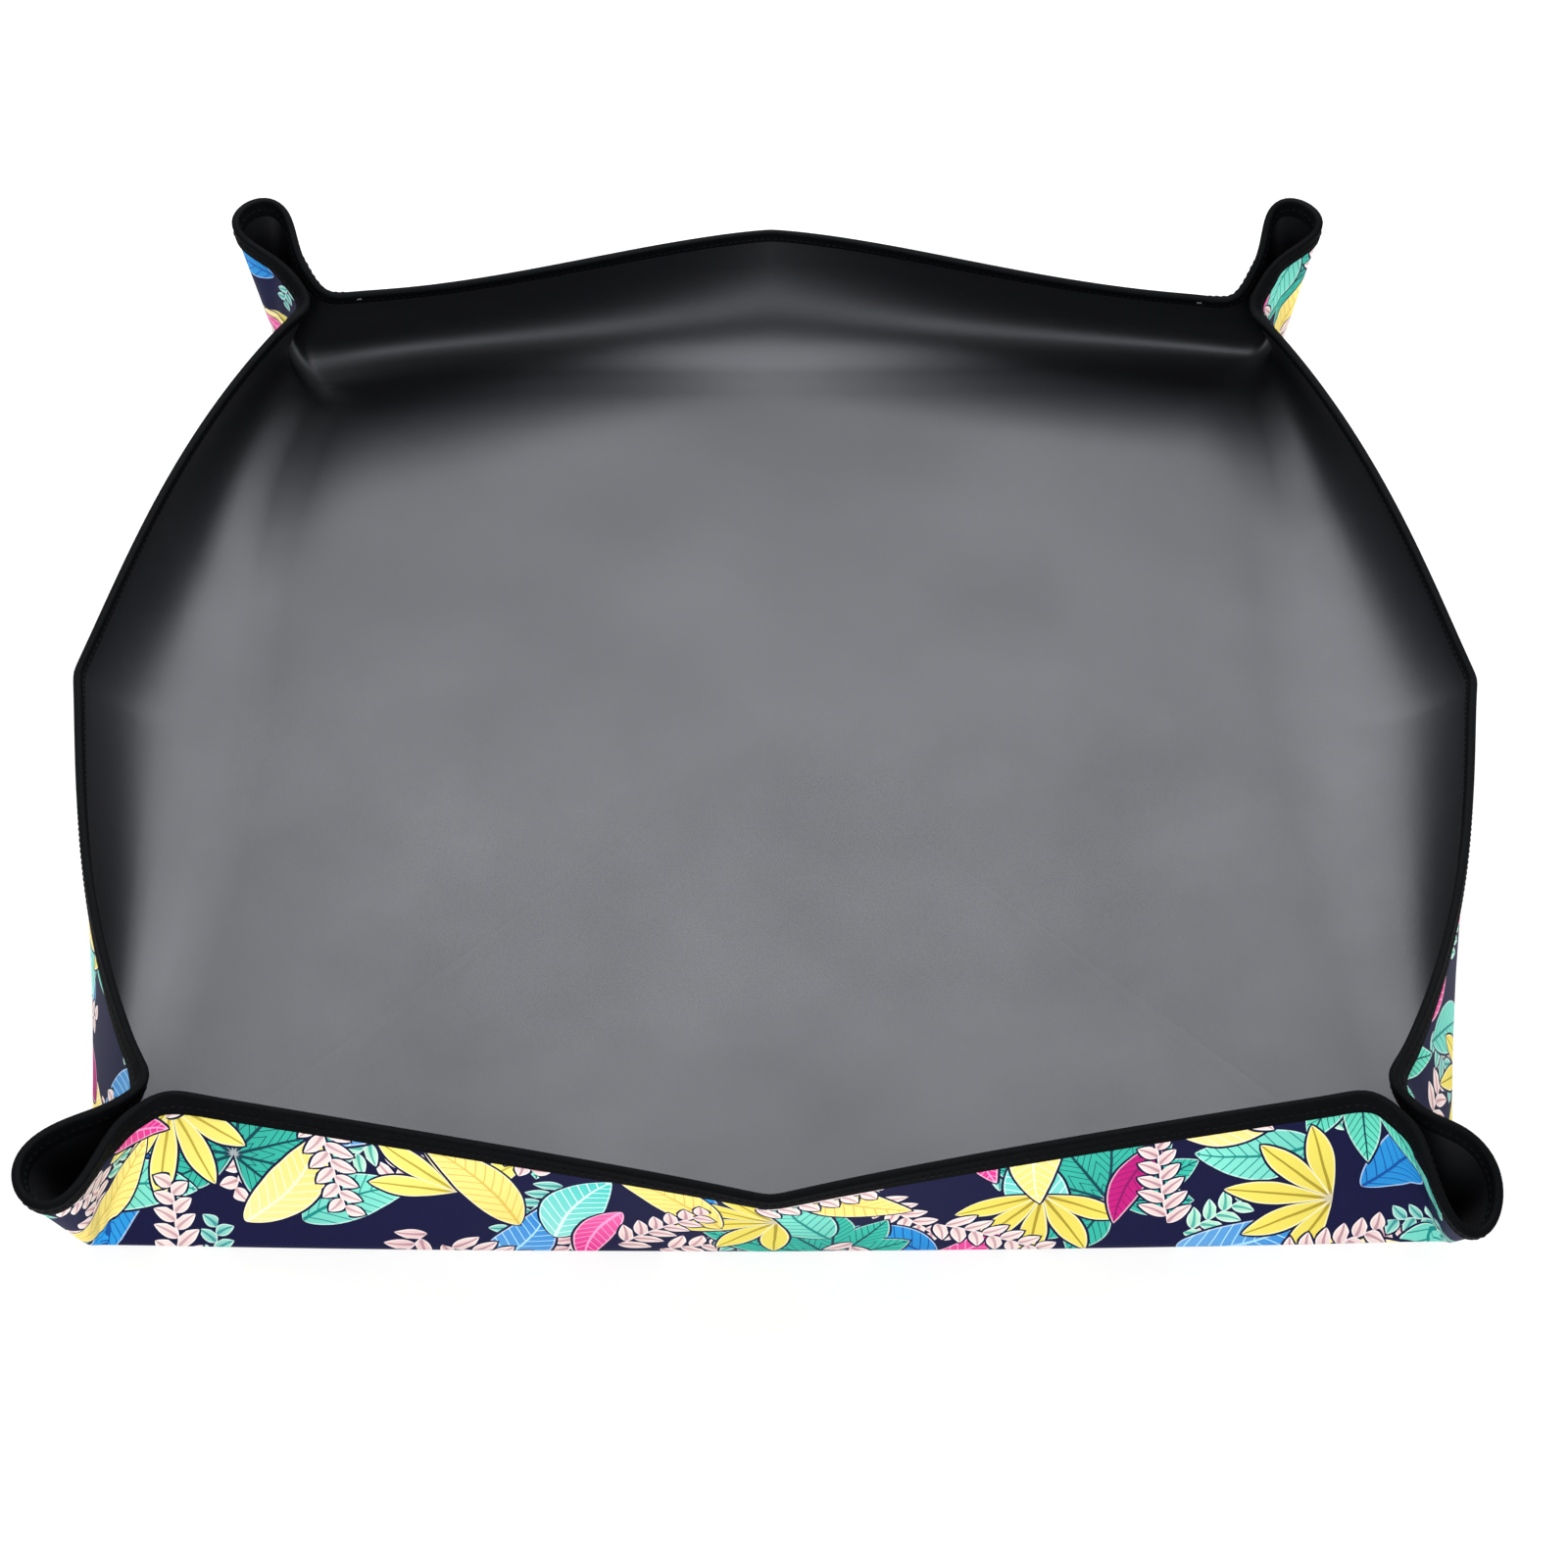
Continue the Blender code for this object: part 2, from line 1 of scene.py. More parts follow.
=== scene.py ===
"""Looks of the square repotting mat that stands as a shallow tray.

Two plies of cloth, the tape that binds their edge, its sewing, and better finishes for the press studs.
Metres, +Z up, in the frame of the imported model: the mat stands on z = 0 and its front is at -Y.

A place on the cloth is found on the flat pattern first: how far along the edge from the middle of a side,
and how far down from the edge. Each ply is a grid of columns that run from the centre of the floor, round
the fold and up to the edge.
"""

from __future__ import annotations

import logging
import math
from dataclasses import dataclass
from enum import Enum

import bpy
import numpy as np
from mathutils import Matrix, Vector


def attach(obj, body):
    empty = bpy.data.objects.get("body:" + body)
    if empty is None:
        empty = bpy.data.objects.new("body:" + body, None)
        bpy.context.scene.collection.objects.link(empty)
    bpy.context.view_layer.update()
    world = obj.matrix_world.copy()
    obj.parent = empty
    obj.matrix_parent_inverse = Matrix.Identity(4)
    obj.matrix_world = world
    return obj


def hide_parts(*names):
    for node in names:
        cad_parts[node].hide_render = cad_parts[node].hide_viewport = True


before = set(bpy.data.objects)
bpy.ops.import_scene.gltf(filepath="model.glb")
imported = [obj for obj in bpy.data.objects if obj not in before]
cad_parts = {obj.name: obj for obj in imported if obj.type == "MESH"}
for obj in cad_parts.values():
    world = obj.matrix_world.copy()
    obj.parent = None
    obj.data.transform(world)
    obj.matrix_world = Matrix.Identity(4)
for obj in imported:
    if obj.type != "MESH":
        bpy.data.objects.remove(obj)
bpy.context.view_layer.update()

BODY = "root"
UV_NAME = "flat"
UP = np.array((0.0, 0.0, 1.0))
log = logging.getLogger("repotting_mat")

Array = np.ndarray
Piece = bpy.types.Object
Material = bpy.types.Material
Pieces = dict[str, Piece]


# Small tools


def linear(colour: str) -> tuple[float, float, float, float]:
    """Turn an sRGB hex colour into linear values.

    Args:
        colour: hex colour, such as "#1b2150".

    Returns:
        Red, green, blue and alpha.
    """
    parts = [int(colour[i : i + 2], 16) / 255 for i in (1, 3, 5)]
    return tuple(p / 12.92 if p <= 0.04045 else ((p + 0.055) / 1.055) ** 2.4 for p in parts) + (1.0,)


def mix(a: float, b: float, share: float) -> float:
    """Value at a share of the way from a to b."""
    return a + (b - a) * share


def unit(vectors: Array) -> Array:
    """Vectors scaled to length one."""
    return vectors / np.linalg.norm(vectors, axis=-1, keepdims=True)


def steps(count: int, start: float = 0.0, end: float = 1.0) -> Array:
    """Equal steps from start to end, both counted."""
    return np.linspace(start, end, count + 1)


def run_along(line: Array) -> Array:
    """Distance along a line at each of its points."""
    return np.concatenate(([0], np.cumsum(np.linalg.norm(np.diff(line, axis=0), axis=1))))


def sampled(at: Array, run: Array, line: Array) -> Array:
    """Points of a line at some distances, where run has the distance of each of its own points."""
    return np.stack([np.interp(at, run, line[:, i]) for i in range(3)], axis=1)


# Shader nodes


# The property that a kind of node keeps its mode in. For a Math node it is operation too.
MODES = {
    "VectorMath": "operation", "MixRGB": "blend_type", "VectorRotate": "rotation_type",
    "TexWhiteNoise": "noise_dimensions", "UVMap": "uv_map", "Group": "node_tree",
}
# Sockets that aren't numbers, by the last word of their name.
SOCKET_KINDS = {"place": "NodeSocketVector", "colour": "NodeSocketColor", "under": "NodeSocketColor"}


def add_node(tree: bpy.types.NodeTree, kind: str, settings: dict, inputs: dict) -> bpy.types.Node:
    """Add a node with its settings and links.

    Args:
        tree: node tree that gets it.
        kind: type of the node, without its prefix.
        settings: its properties.
        inputs: values, hex colours or sockets by the number or name of an input, with _ for a space.

    Returns:
        The new node.
    """
    node = tree.nodes.new("ShaderNode" + kind)
    for name, value in settings.items():
        setattr(node, name, value)
    for key, value in inputs.items():
        socket = node.inputs[key if isinstance(key, int) or key in node.inputs else key.replace("_", " ")]
        if isinstance(value, bpy.types.NodeSocket):
            tree.links.new(value, socket)
        else:
            socket.default_value = linear(value) if isinstance(value, str) else value
    return node


def read_input(word: str, nodes: dict) -> object:
    """What a word of a row stands for.

    Args:
        word: a number, a vector with commas, a hex colour, or a node's name, with its output after a dot.
        nodes: the earlier nodes by name.

    Returns:
        The value, or the node's socket.
    """
    if word.startswith("#"):
        return word
    name, _, output = word.partition(".")
    if name in nodes:
        outputs = nodes[name].outputs
        return outputs[output if output in outputs else output.replace("_", " ")] if output else outputs[0]
    parts = tuple(float(part) for part in word.split(","))
    return parts if len(parts) > 1 else parts[0]


def lay_out(tree: bpy.types.NodeTree, rows: str, known: dict | None = None) -> dict:
    """Add nodes row by row.

    Args:
        tree: node tree that gets them.
        rows: a line for each node, as "name = Kind.MODE inputs". Inputs go to the first sockets in turn, or
            to the socket that stands before a colon. A mode alone is that of a Math node.
        known: nodes that the rows may name.

    Returns:
        The nodes by name.
    """
    nodes = dict(known or {})
    for row in filter(str.strip, rows.splitlines()):
        name, _, kind, *words = row.split()
        kind, _, mode = ("Math." + kind if kind.isupper() else kind).partition(".")
        value = bpy.data.node_groups[mode] if kind == "Group" else mode
        settings = {MODES.get(kind, "operation"): value} if mode else {}
        inputs = {}
        for number, word in enumerate(words):
            key, colon, source = word.partition(":")
            inputs[key if colon else number] = read_input(source if colon else word, nodes)
        nodes[name] = add_node(tree, kind, settings, inputs)
    return nodes


def new_material(name: str, rows: str) -> Material:
    """Make a material.

    Args:
        name: the real material and how it was made.
        rows: its nodes, as lay_out takes them. The last one is named shader.

    Returns:
        The material.
    """
    material = bpy.data.materials.new(name)
    material.use_nodes = True
    material.node_tree.nodes.clear()
    lay_out(material.node_tree, rows + "\nsurface = OutputMaterial shader")
    return material


def new_group(name: str, inputs: str, outputs: str, rows: str) -> None:
    """Make a node group. Its sockets are numbers, or else what the last word of their name says.

    Args:
        name: what it works out.
        inputs: names of its inputs.
        outputs: names of its outputs, each the name of a row.
        rows: its nodes. A row may name an input as given.NAME.
    """
    tree = bpy.data.node_groups.new(name, "ShaderNodeTree")
    for side, names in (("INPUT", inputs), ("OUTPUT", outputs)):
        for word in names.split():
            kind = SOCKET_KINDS.get(word.split("_")[-1], "NodeSocketFloat")
            tree.interface.new_socket(word, in_out=side, socket_type=kind)
    nodes = lay_out(tree, rows, {"given": tree.nodes.new("NodeGroupInput")})
    end = tree.nodes.new("NodeGroupOutput")
    for word in outputs.split():
        tree.links.new(nodes[word].outputs[0], end.inputs[word])


# The printed leaves


# Deals one motif into each cell of a turned lattice, each at its own place and turn.
SCATTER = ("scatter", "place pitch lattice_turn seed play", "along across lot", f"""
    turned = VectorRotate.Z_AXIS Vector:given.place Angle:given.lattice_turn
    shift = VectorMath.SCALE 0.371,0.613,0 Scale:given.seed
    moved = VectorMath.ADD turned shift
    cells = VectorMath.DIVIDE moved given.pitch
    parts = SeparateXYZ cells
    row = FLOOR parts.Y
    skewed = MULTIPLY_ADD row 0.41 parts.X
    column = FLOOR skewed
    cell = CombineXYZ column row given.seed
    dealt = TexWhiteNoise.3D cell
    lots = SeparateColor dealt.Color
    across_cell = FRACT skewed
    up_cell = FRACT parts.Y
    in_cell = CombineXYZ across_cell up_cell
    centred = VectorMath.SUBTRACT in_cell 0.5,0.5,0
    sized = VectorMath.MULTIPLY centred given.pitch
    draw = CombineXYZ lots.Red lots.Green
    centred_draw = VectorMath.SUBTRACT draw 0.5,0.5,0
    nudge = VectorMath.MULTIPLY centred_draw given.play
    nudged = VectorMath.SUBTRACT sized nudge
    turn = MULTIPLY lots.Blue {math.tau}
    own = VectorRotate.Z_AXIS Vector:nudged Angle:turn
    own_parts = SeparateXYZ own
    along = ADD own_parts.X 0
    across = ADD own_parts.Y 0
    lot = ADD dealt.Value 0
""")

# Draws one leaf blade. Its stem end is at the origin and its tip along X.
BLADE = (
    "blade", "along across length width fullness roundness bend vein_spacing vein_slope",
    "reach vein rest", f"""
    reached = DIVIDE given.along given.length
    share = Clamp reached
    on_axis = MULTIPLY share given.length
    past = SUBTRACT given.along on_axis
    over = ABSOLUTE past
    rest = SUBTRACT 1 share
    arch = MULTIPLY share rest
    arched = MULTIPLY arch given.bend
    bent = MULTIPLY arched given.length
    off_axis = SUBTRACT given.across bent
    off = ABSOLUTE off_axis
    eased = POWER share given.fullness
    wave = MULTIPLY eased {math.pi}
    swell = SINE wave
    whole = MAXIMUM swell 0
    round = POWER whole given.roundness
    wide = MULTIPLY round given.width
    half_wide = MULTIPLY wide 0.5
    inside = SUBTRACT half_wide off
    reach = SUBTRACT inside over
    slant = MULTIPLY off given.vein_slope
    on_vein = SUBTRACT given.along slant
    veins = DIVIDE on_vein given.vein_spacing
    in_vein = FRACT veins
    from_vein = SUBTRACT in_vein 0.5
    near_vein = ABSOLUTE from_vein
    side_vein = LESS_THAN near_vein 0.065
    rib_wide = MULTIPLY_ADD rest 0.0005 0.0003
    rib = LESS_THAN off rib_wide
    vein = MAXIMUM side_vein rib
""")

# Turns each leaflet of a fan on to the X axis. Leaflets are a step of angle apart.
FAN = ("fan", "along across step count", "leaf_along leaf_across rank", """
    bearing = ARCTAN2 given.across given.along
    turns = DIVIDE bearing given.step
    nearest = ROUND turns
    low = MULTIPLY given.count -1
    not_below = MAXIMUM nearest low
    leaflet = MINIMUM not_below given.count
    back = MULTIPLY leaflet given.step
    turned = SUBTRACT bearing back
    spot = CombineXYZ given.along given.across
    away = VectorMath.LENGTH spot
    cosine = COSINE turned
    sine = SINE turned
    leaf_along = MULTIPLY away.Value cosine
    leaf_across = MULTIPLY away.Value sine
    far = ABSOLUTE leaflet
    rank = DIVIDE far given.count
""")

# Brings each leaflet beside a stem on to the X axis. Leaflets stand alternately, at a slant.
SLANT = math.radians(52)
SPRIG = ("sprig", "along across spacing count", "leaf_along leaf_across rank stem", f"""
    side = GREATER_THAN given.across 0
    half_step = MULTIPLY given.spacing 0.5
    lag = MULTIPLY side half_step
    lagged = ADD given.along lag
    off = ABSOLUTE given.across
    lean = MULTIPLY off {1 / math.tan(SLANT)}
    foot = SUBTRACT lagged lean
    feet = DIVIDE foot given.spacing
    nearest = ROUND feet
    not_below = MAXIMUM nearest 0
    leaflet = MINIMUM not_below given.count
    back = MULTIPLY leaflet given.spacing
    left = SUBTRACT foot back
    out = DIVIDE off {math.sin(SLANT)}
    leaf_along = MULTIPLY_ADD left {math.cos(SLANT)} out
    leaf_across = MULTIPLY left {math.sin(SLANT)}
    rank = DIVIDE leaflet given.count
    stem_long = MULTIPLY given.spacing given.count
    stem_share = DIVIDE given.along stem_long
    in_stem = Clamp stem_share
    on_stem = MULTIPLY in_stem stem_long
    past = SUBTRACT given.along on_stem
    over = ABSOLUTE past
    inside = SUBTRACT 0.0005 off
    stem = SUBTRACT inside over
""")

# Prints one motif over the ones before it, pale at its edge and inside a dark outline.
INK = ("ink", "print_under fill_colour line_colour reach outline", "print_colour", """
    edge = MULTIPLY given.outline -1
    covered = GREATER_THAN given.reach edge
    inked = GREATER_THAN given.reach 0
    by_edge = LESS_THAN given.reach 0.0007
    paler = MULTIPLY by_edge 0.35
    edged = MixRGB paler given.fill_colour #ffffff
    motif = MixRGB inked given.line_colour edged
    print_colour = MixRGB covered given.print_under motif
""")


class Habit(Enum):
    """How the leaf blades of a motif are set. A fan and a sprig are named after their node groups."""

    SINGLE = "single"
    FAN = "fan"
    SPRIG = "sprig"


@dataclass(frozen=True)
class Motif:
    """One kind of leaf in the print, scattered over the cloth. Sizes are the blade's own, in metres.

    lattice is its (cell, turn in degrees, seed, free play), and set is the (spacing or step, count) of the
    blades in a fan or on a sprig. inks are two fills that cells choose between, and two vein colours.
    """

    habit: Habit
    lattice: tuple[float, float, float, float]
    length: float
    width: float
    inks: tuple[str, str, str, str]
    set: tuple[float, int] = (0.0, 1)
    fullness: float = 0.8
    roundness: float = 0.8
    bend: float = 0.3
    veins: tuple[float, float] = (0.005, 0.9)
    taper: float = 0.35
    fade: float = 0.35
    missing: float = 0.0
    outline: float = 0.0011
    fan_middle: float = 0.18

    def rows(self, number: int, ground: str, line: str) -> str:
        """Nodes that print this motif.

        Args:
            number: its place in the order of printing, which ends the name of each row.
            ground: name of the node with the print so far, or its hex colour.
            line: hex colour of the outline.

        Returns:
            Rows for lay_out. The last one, print and the number, is the print with this motif on it.
        """
        cell, turn, seed, play = self.lattice
        spread, count = self.set
        # How far the motif's foot lies behind its middle.
        back = {Habit.SINGLE: self.length / 2, Habit.FAN: self.length * self.fan_middle,
                Habit.SPRIG: (spread * count + self.length * 0.5) / 2}[self.habit]
        along, across, length, reach = "middle@", "deal@.across", self.length, "blade@.reach"
        placed = set_on_stem = ""
        if self.habit is not Habit.SINGLE:
            placed = f"""
                set@ = Group.{self.habit.value} {along} {across} {spread} {count}
                taper@ = MULTIPLY set@.rank {-self.taper * self.length}
                long@ = ADD taper@ {self.length}
            """
            along, across, length = "set@.leaf_along", "set@.leaf_across", "long@"
        if self.habit is Habit.SPRIG:
            set_on_stem = "stem@ = MAXIMUM blade@.reach set@.stem"
            reach = "stem@"
        shape = f"{self.width} {self.fullness} {self.roundness} {self.bend} {self.veins[0]} {self.veins[1]}"
        light, other, vein, other_vein = self.inks
        return f"""
            deal@ = Group.scatter place {cell} {math.radians(turn)} {seed} {play}
            middle@ = ADD deal@.along {back}
            {placed}
            blade@ = Group.blade {along} {across} {length} {shape}
            {set_on_stem}
            gap@ = LESS_THAN deal@.lot {self.missing}
            kept@ = SUBTRACT {reach} gap@
            tone@ = GREATER_THAN deal@.lot {mix(self.missing, 1.0, 0.5)}
            fill@ = MixRGB tone@ {light} {other}
            vein@ = MixRGB tone@ {vein} {other_vein}
            shade@ = MULTIPLY blade@.rest {self.fade}
            drawn@ = MixRGB shade@ fill@ vein@
            veined@ = MixRGB blade@.vein drawn@ vein@
            print@ = Group.ink {ground} veined@ {line} kept@ {self.outline}
        """.replace("@", str(number))


LEAVES = (
    Motif(Habit.SPRIG, (0.072, 12, 1.7, 0.006), 0.0135, 0.0062, ("#f6e4df", "#efd3d0", "#c99aa0", "#bb8f9b"),
          set=(0.0085, 5), veins=(0.06, 1.0), bend=0.2, taper=0.4),
    Motif(Habit.SPRIG, (0.070, 47, 5.3, 0.006), 0.0120, 0.0058, ("#bdebd2", "#93d8c9", "#4fae9e", "#3f9696"),
          set=(0.0078, 5), veins=(0.06, 1.0), bend=0.2, taper=0.3),
    Motif(Habit.SINGLE, (0.079, 31, 2.1, 0.006), 0.058, 0.0235, ("#2b9be2", "#1c80cf", "#0f4f9c", "#a9dcf5"),
          veins=(0.0046, 0.8), bend=0.5),
    Motif(Habit.FAN, (0.126, 18, 3.4, 0.010), 0.060, 0.0180, ("#66dcc0", "#38bda8", "#0d4c55", "#0b4350"),
          set=(math.radians(31), 4), veins=(0.0042, 1.3), bend=0.0, fullness=1.15, roundness=0.9, taper=0.42,
          fade=0.25),
    Motif(Habit.SINGLE, (0.078, 63, 4.6, 0.006), 0.050, 0.0240, ("#86e6d2", "#3cc7c0", "#12857f", "#d9fff2"),
          veins=(0.0050, 0.9), bend=-0.3),
    Motif(Habit.FAN, (0.099, 55, 6.2, 0.010), 0.045, 0.0112, ("#f7ec7c", "#f0e066", "#b9a53e", "#a8932f"),
          set=(math.radians(34), 2), veins=(0.12, 1.0), bend=0.0, fullness=1.3, roundness=0.8, taper=0.2,
          fade=0.3),
    Motif(Habit.SINGLE, (0.077, 5, 7.5, 0.006), 0.058, 0.0225, ("#fbe98a", "#f6de78", "#dcbc58", "#fff6cc"),
          veins=(0.0050, 0.9), bend=0.4, missing=0.20),
    Motif(Habit.SINGLE, (0.069, 81, 9.8, 0.008), 0.046, 0.0150, ("#dd2188", "#c61a7e", "#ff9fd0", "#8a1260"),
          veins=(0.0042, 0.9), bend=0.35, missing=0.45),
    Motif(Habit.SPRIG, (0.071, 26, 11.3, 0.006), 0.0135, 0.0062, ("#f6e4df", "#f2dcd8", "#c9a3a8", "#b98f98"),
          set=(0.0082, 5), veins=(0.06, 1.0), bend=0.2, missing=0.25),
)


def woven(pitch: float) -> str:
    """Rows for the crossing threads of a cloth, in flat metres."""
    return f"""
        cloth = UVMap.{UV_NAME}
        threads = VectorMath.SCALE cloth Scale:{math.tau / pitch}
        thread = SeparateXYZ threads
        warp = SINE thread.X
        weft = SINE thread.Y
        weave = MULTIPLY warp weft
    """


@dataclass(frozen=True)
class CoatedCloth:
    """Black polyester cloth with a calendered waterproof coating: a soft satin sheen and a faint weave."""

    colour: str = "#090a0e"
    dust_colour: str = "#333539"
    gloss_colour: str = "#f5f7ff"
    roughness: float = 0.45
    thread: float = 0.0009

    def make(self) -> Material:
        """Make the material.

        The weave is drawn at twice its real 0.45 mm pitch, because finer threads don't show. Broad soft
        patches in the roughness give the handled look of a coating, and a trace of dust greys it.
        """
        return new_material("coated_polyester_calendered", woven(self.thread) + f"""
            patches = TexNoise cloth Scale:9 Detail:3 Roughness:0.55
            grain = TexNoise cloth Scale:420 Detail:2
            dust_patches = TexNoise cloth Scale:34 Detail:6 Roughness:0.7
            dusty = MapRange dust_patches 0.55 0.85 0 0.10
            tint = MixRGB dusty {self.colour} {self.dust_colour}
            rough = MapRange patches 0.3 0.7 {self.roughness - 0.03} {self.roughness + 0.04}
            relief = MULTIPLY_ADD grain 0.8 weave
            bump = Bump 0.25 0.00006 Height:relief
            shader = BsdfPrincipled Base_Color:tint Roughness:rough IOR:1.52 \
                Specular_Tint:{self.gloss_colour} Normal:bump
        """)


@dataclass(frozen=True)
class PrintedCloth:
    """Polyester cloth printed with overlapping leaves: matt, close-woven, with crisp inks and outlines."""

    navy: str = "#0c0e38"
    roughness: float = 0.62
    gloss: float = 0.1
    thread: float = 0.0008

    def make(self) -> Material:
        """Make the material.

        The motifs are laid over each other in order of printing, in flat metres on the cloth. The weave is
        drawn at 0.8 mm instead of 0.4 mm, because finer threads don't show.
        """
        for group in (SCATTER, BLADE, FAN, SPRIG, INK):
            new_group(*group)
        rows = woven(self.thread) + """
            wander = TexNoise cloth Scale:60 Detail:1
            centred = VectorMath.SUBTRACT wander.Color 0.5,0.5,0.5
            wobble = VectorMath.SCALE centred Scale:0.0012
            place = VectorMath.ADD cloth wobble
        """
        ground = self.navy
        for number, motif in enumerate(LEAVES):
            rows += motif.rows(number, ground, self.navy)
            ground = f"print{number}"
        # Painted shade: the print is darkened by up to a tenth where the weave dips, in the hollows between
        # the threads.
        return new_material("polyester_cloth_leaf_printed", rows + f"""
            fade = MapRange weave -1 1 0.9 1
            faded = MixRGB.MULTIPLY 1 {ground} fade
            bump = Bump 0.35 0.00008 Height:weave
            shader = BsdfPrincipled Base_Color:faded Roughness:{self.roughness} \
                Specular_IOR_Level:{self.gloss} Normal:bump
        """)


@dataclass(frozen=True)
class WovenTape:
    """Black polyester bias tape: matt, with fine ribs across its length."""

    colour: str = "#050608"
    worn: str = "#0b0c0f"
    rib: float = 0.0011
    roughness: float = 0.72
    gloss: float = 0.05

    def make(self) -> Material:
        """Make the material. The ribs run across the tape, which looks dull and dry beside the coating."""
        return new_material("polyester_tape_woven", woven(self.rib) + f"""
            ribs = MULTIPLY_ADD weft 0.4 warp
            fuzz = TexNoise cloth Scale:260 Detail:3
            worn = MapRange fuzz 0.5 0.8 0 0.6
            tint = MixRGB worn {self.colour} {self.worn}
            bump = Bump 0.4 0.0001 Height:ribs
            shader = BsdfPrincipled Base_Color:tint Roughness:{self.roughness} \
                Specular_IOR_Level:{self.gloss} Normal:bump
        """)


@dataclass(frozen=True)
class SewingThread:
    """Spun polyester thread: two strands twisted together, with a slight lustre."""

    name: str
    colour: str
    twist: float = 0.0009
    roughness: float = 0.55
    gloss: float = 0.1

    def make(self) -> Material:
        """Make the material. Slanting bands of painted shade, darker in the grooves where the bump dips, give
        the twist of the strands.
        """
        return new_material(self.name, woven(self.twist) + f"""
            slanted = ADD thread.X thread.Y
            strand = SINE slanted
            shade = MapRange strand -1 1 0.7 1
            tint = MixRGB.MULTIPLY 1 {self.colour} shade
            bump = Bump 0.5 0.0001 Height:strand
            shader = BsdfPrincipled Base_Color:tint Roughness:{self.roughness} \
                Specular_IOR_Level:{self.gloss} Normal:bump
        """)


@dataclass(frozen=True)
class BlackenedSteel:
    """Stamped steel with a black oxide finish: dark, smooth, with paler wear in spots."""

    colour: str = "#2c2d30"
    worn: str = "#6f7073"
    roughness: float = 0.34

    def make(self) -> Material:
        """Make the material. Fine noise lets bare steel through where the pieces rub."""
        return new_material("steel_stamped_black_oxide", f"""
            place = TexCoord
            rubbed = TexNoise place.Object Scale:900 Detail:4 Roughness:0.6
            worn = MapRange rubbed 0.52 0.72 0 0.7
            tint = MixRGB worn {self.colour} {self.worn}
            rough = MapRange rubbed 0.3 0.7 {self.roughness} {self.roughness + 0.15}
            bump = Bump 0.15 0.00003 Height:rubbed
            shader = BsdfPrincipled Base_Color:tint Roughness:rough Metallic:1 Normal:bump
        """)


# The form of the standing tray


@dataclass(frozen=True)
class Side:
    """One side of the sheet: its wall's angle, the kink or bell of the wall's edge, and its fold."""

    out: tuple[float, float, float]
    angle: float
    kink_power: float
    rounding: float
    bow: float = 0.0
    bell: bool = False


@dataclass(frozen=True)
class Corner:
    """One pinched corner: its neck and its ear."""

    towards: tuple[int, int]
    neck_lean: float
    neck_height: float
    ear_reach: float
    ear_tip_height: float
    ear_half_width: float
    ear_power: float
    ear_turn: float
    ear_droop: float
    drawn_in: float
    lift: float
    rounding: float

    @property
    def outward(self) -> Array:
        """Level direction from the middle of the mat."""
        return unit(np.array((*self.towards, 0.0)))


class Half:
    """Half of a side, from its middle to the tip of an ear, with its directions."""

    def __init__(self, side: Side, corner: Corner) -> None:
        """Work out the directions: out of the wall, along it to the corner, and across the ear."""
        self.side, self.corner = side, corner
        self.out = np.array(side.out, float)
        self.along = unit(corner.outward - self.out * (corner.outward @ self.out))
        self.across = unit(self.out - corner.outward * (self.out @ corner.outward))


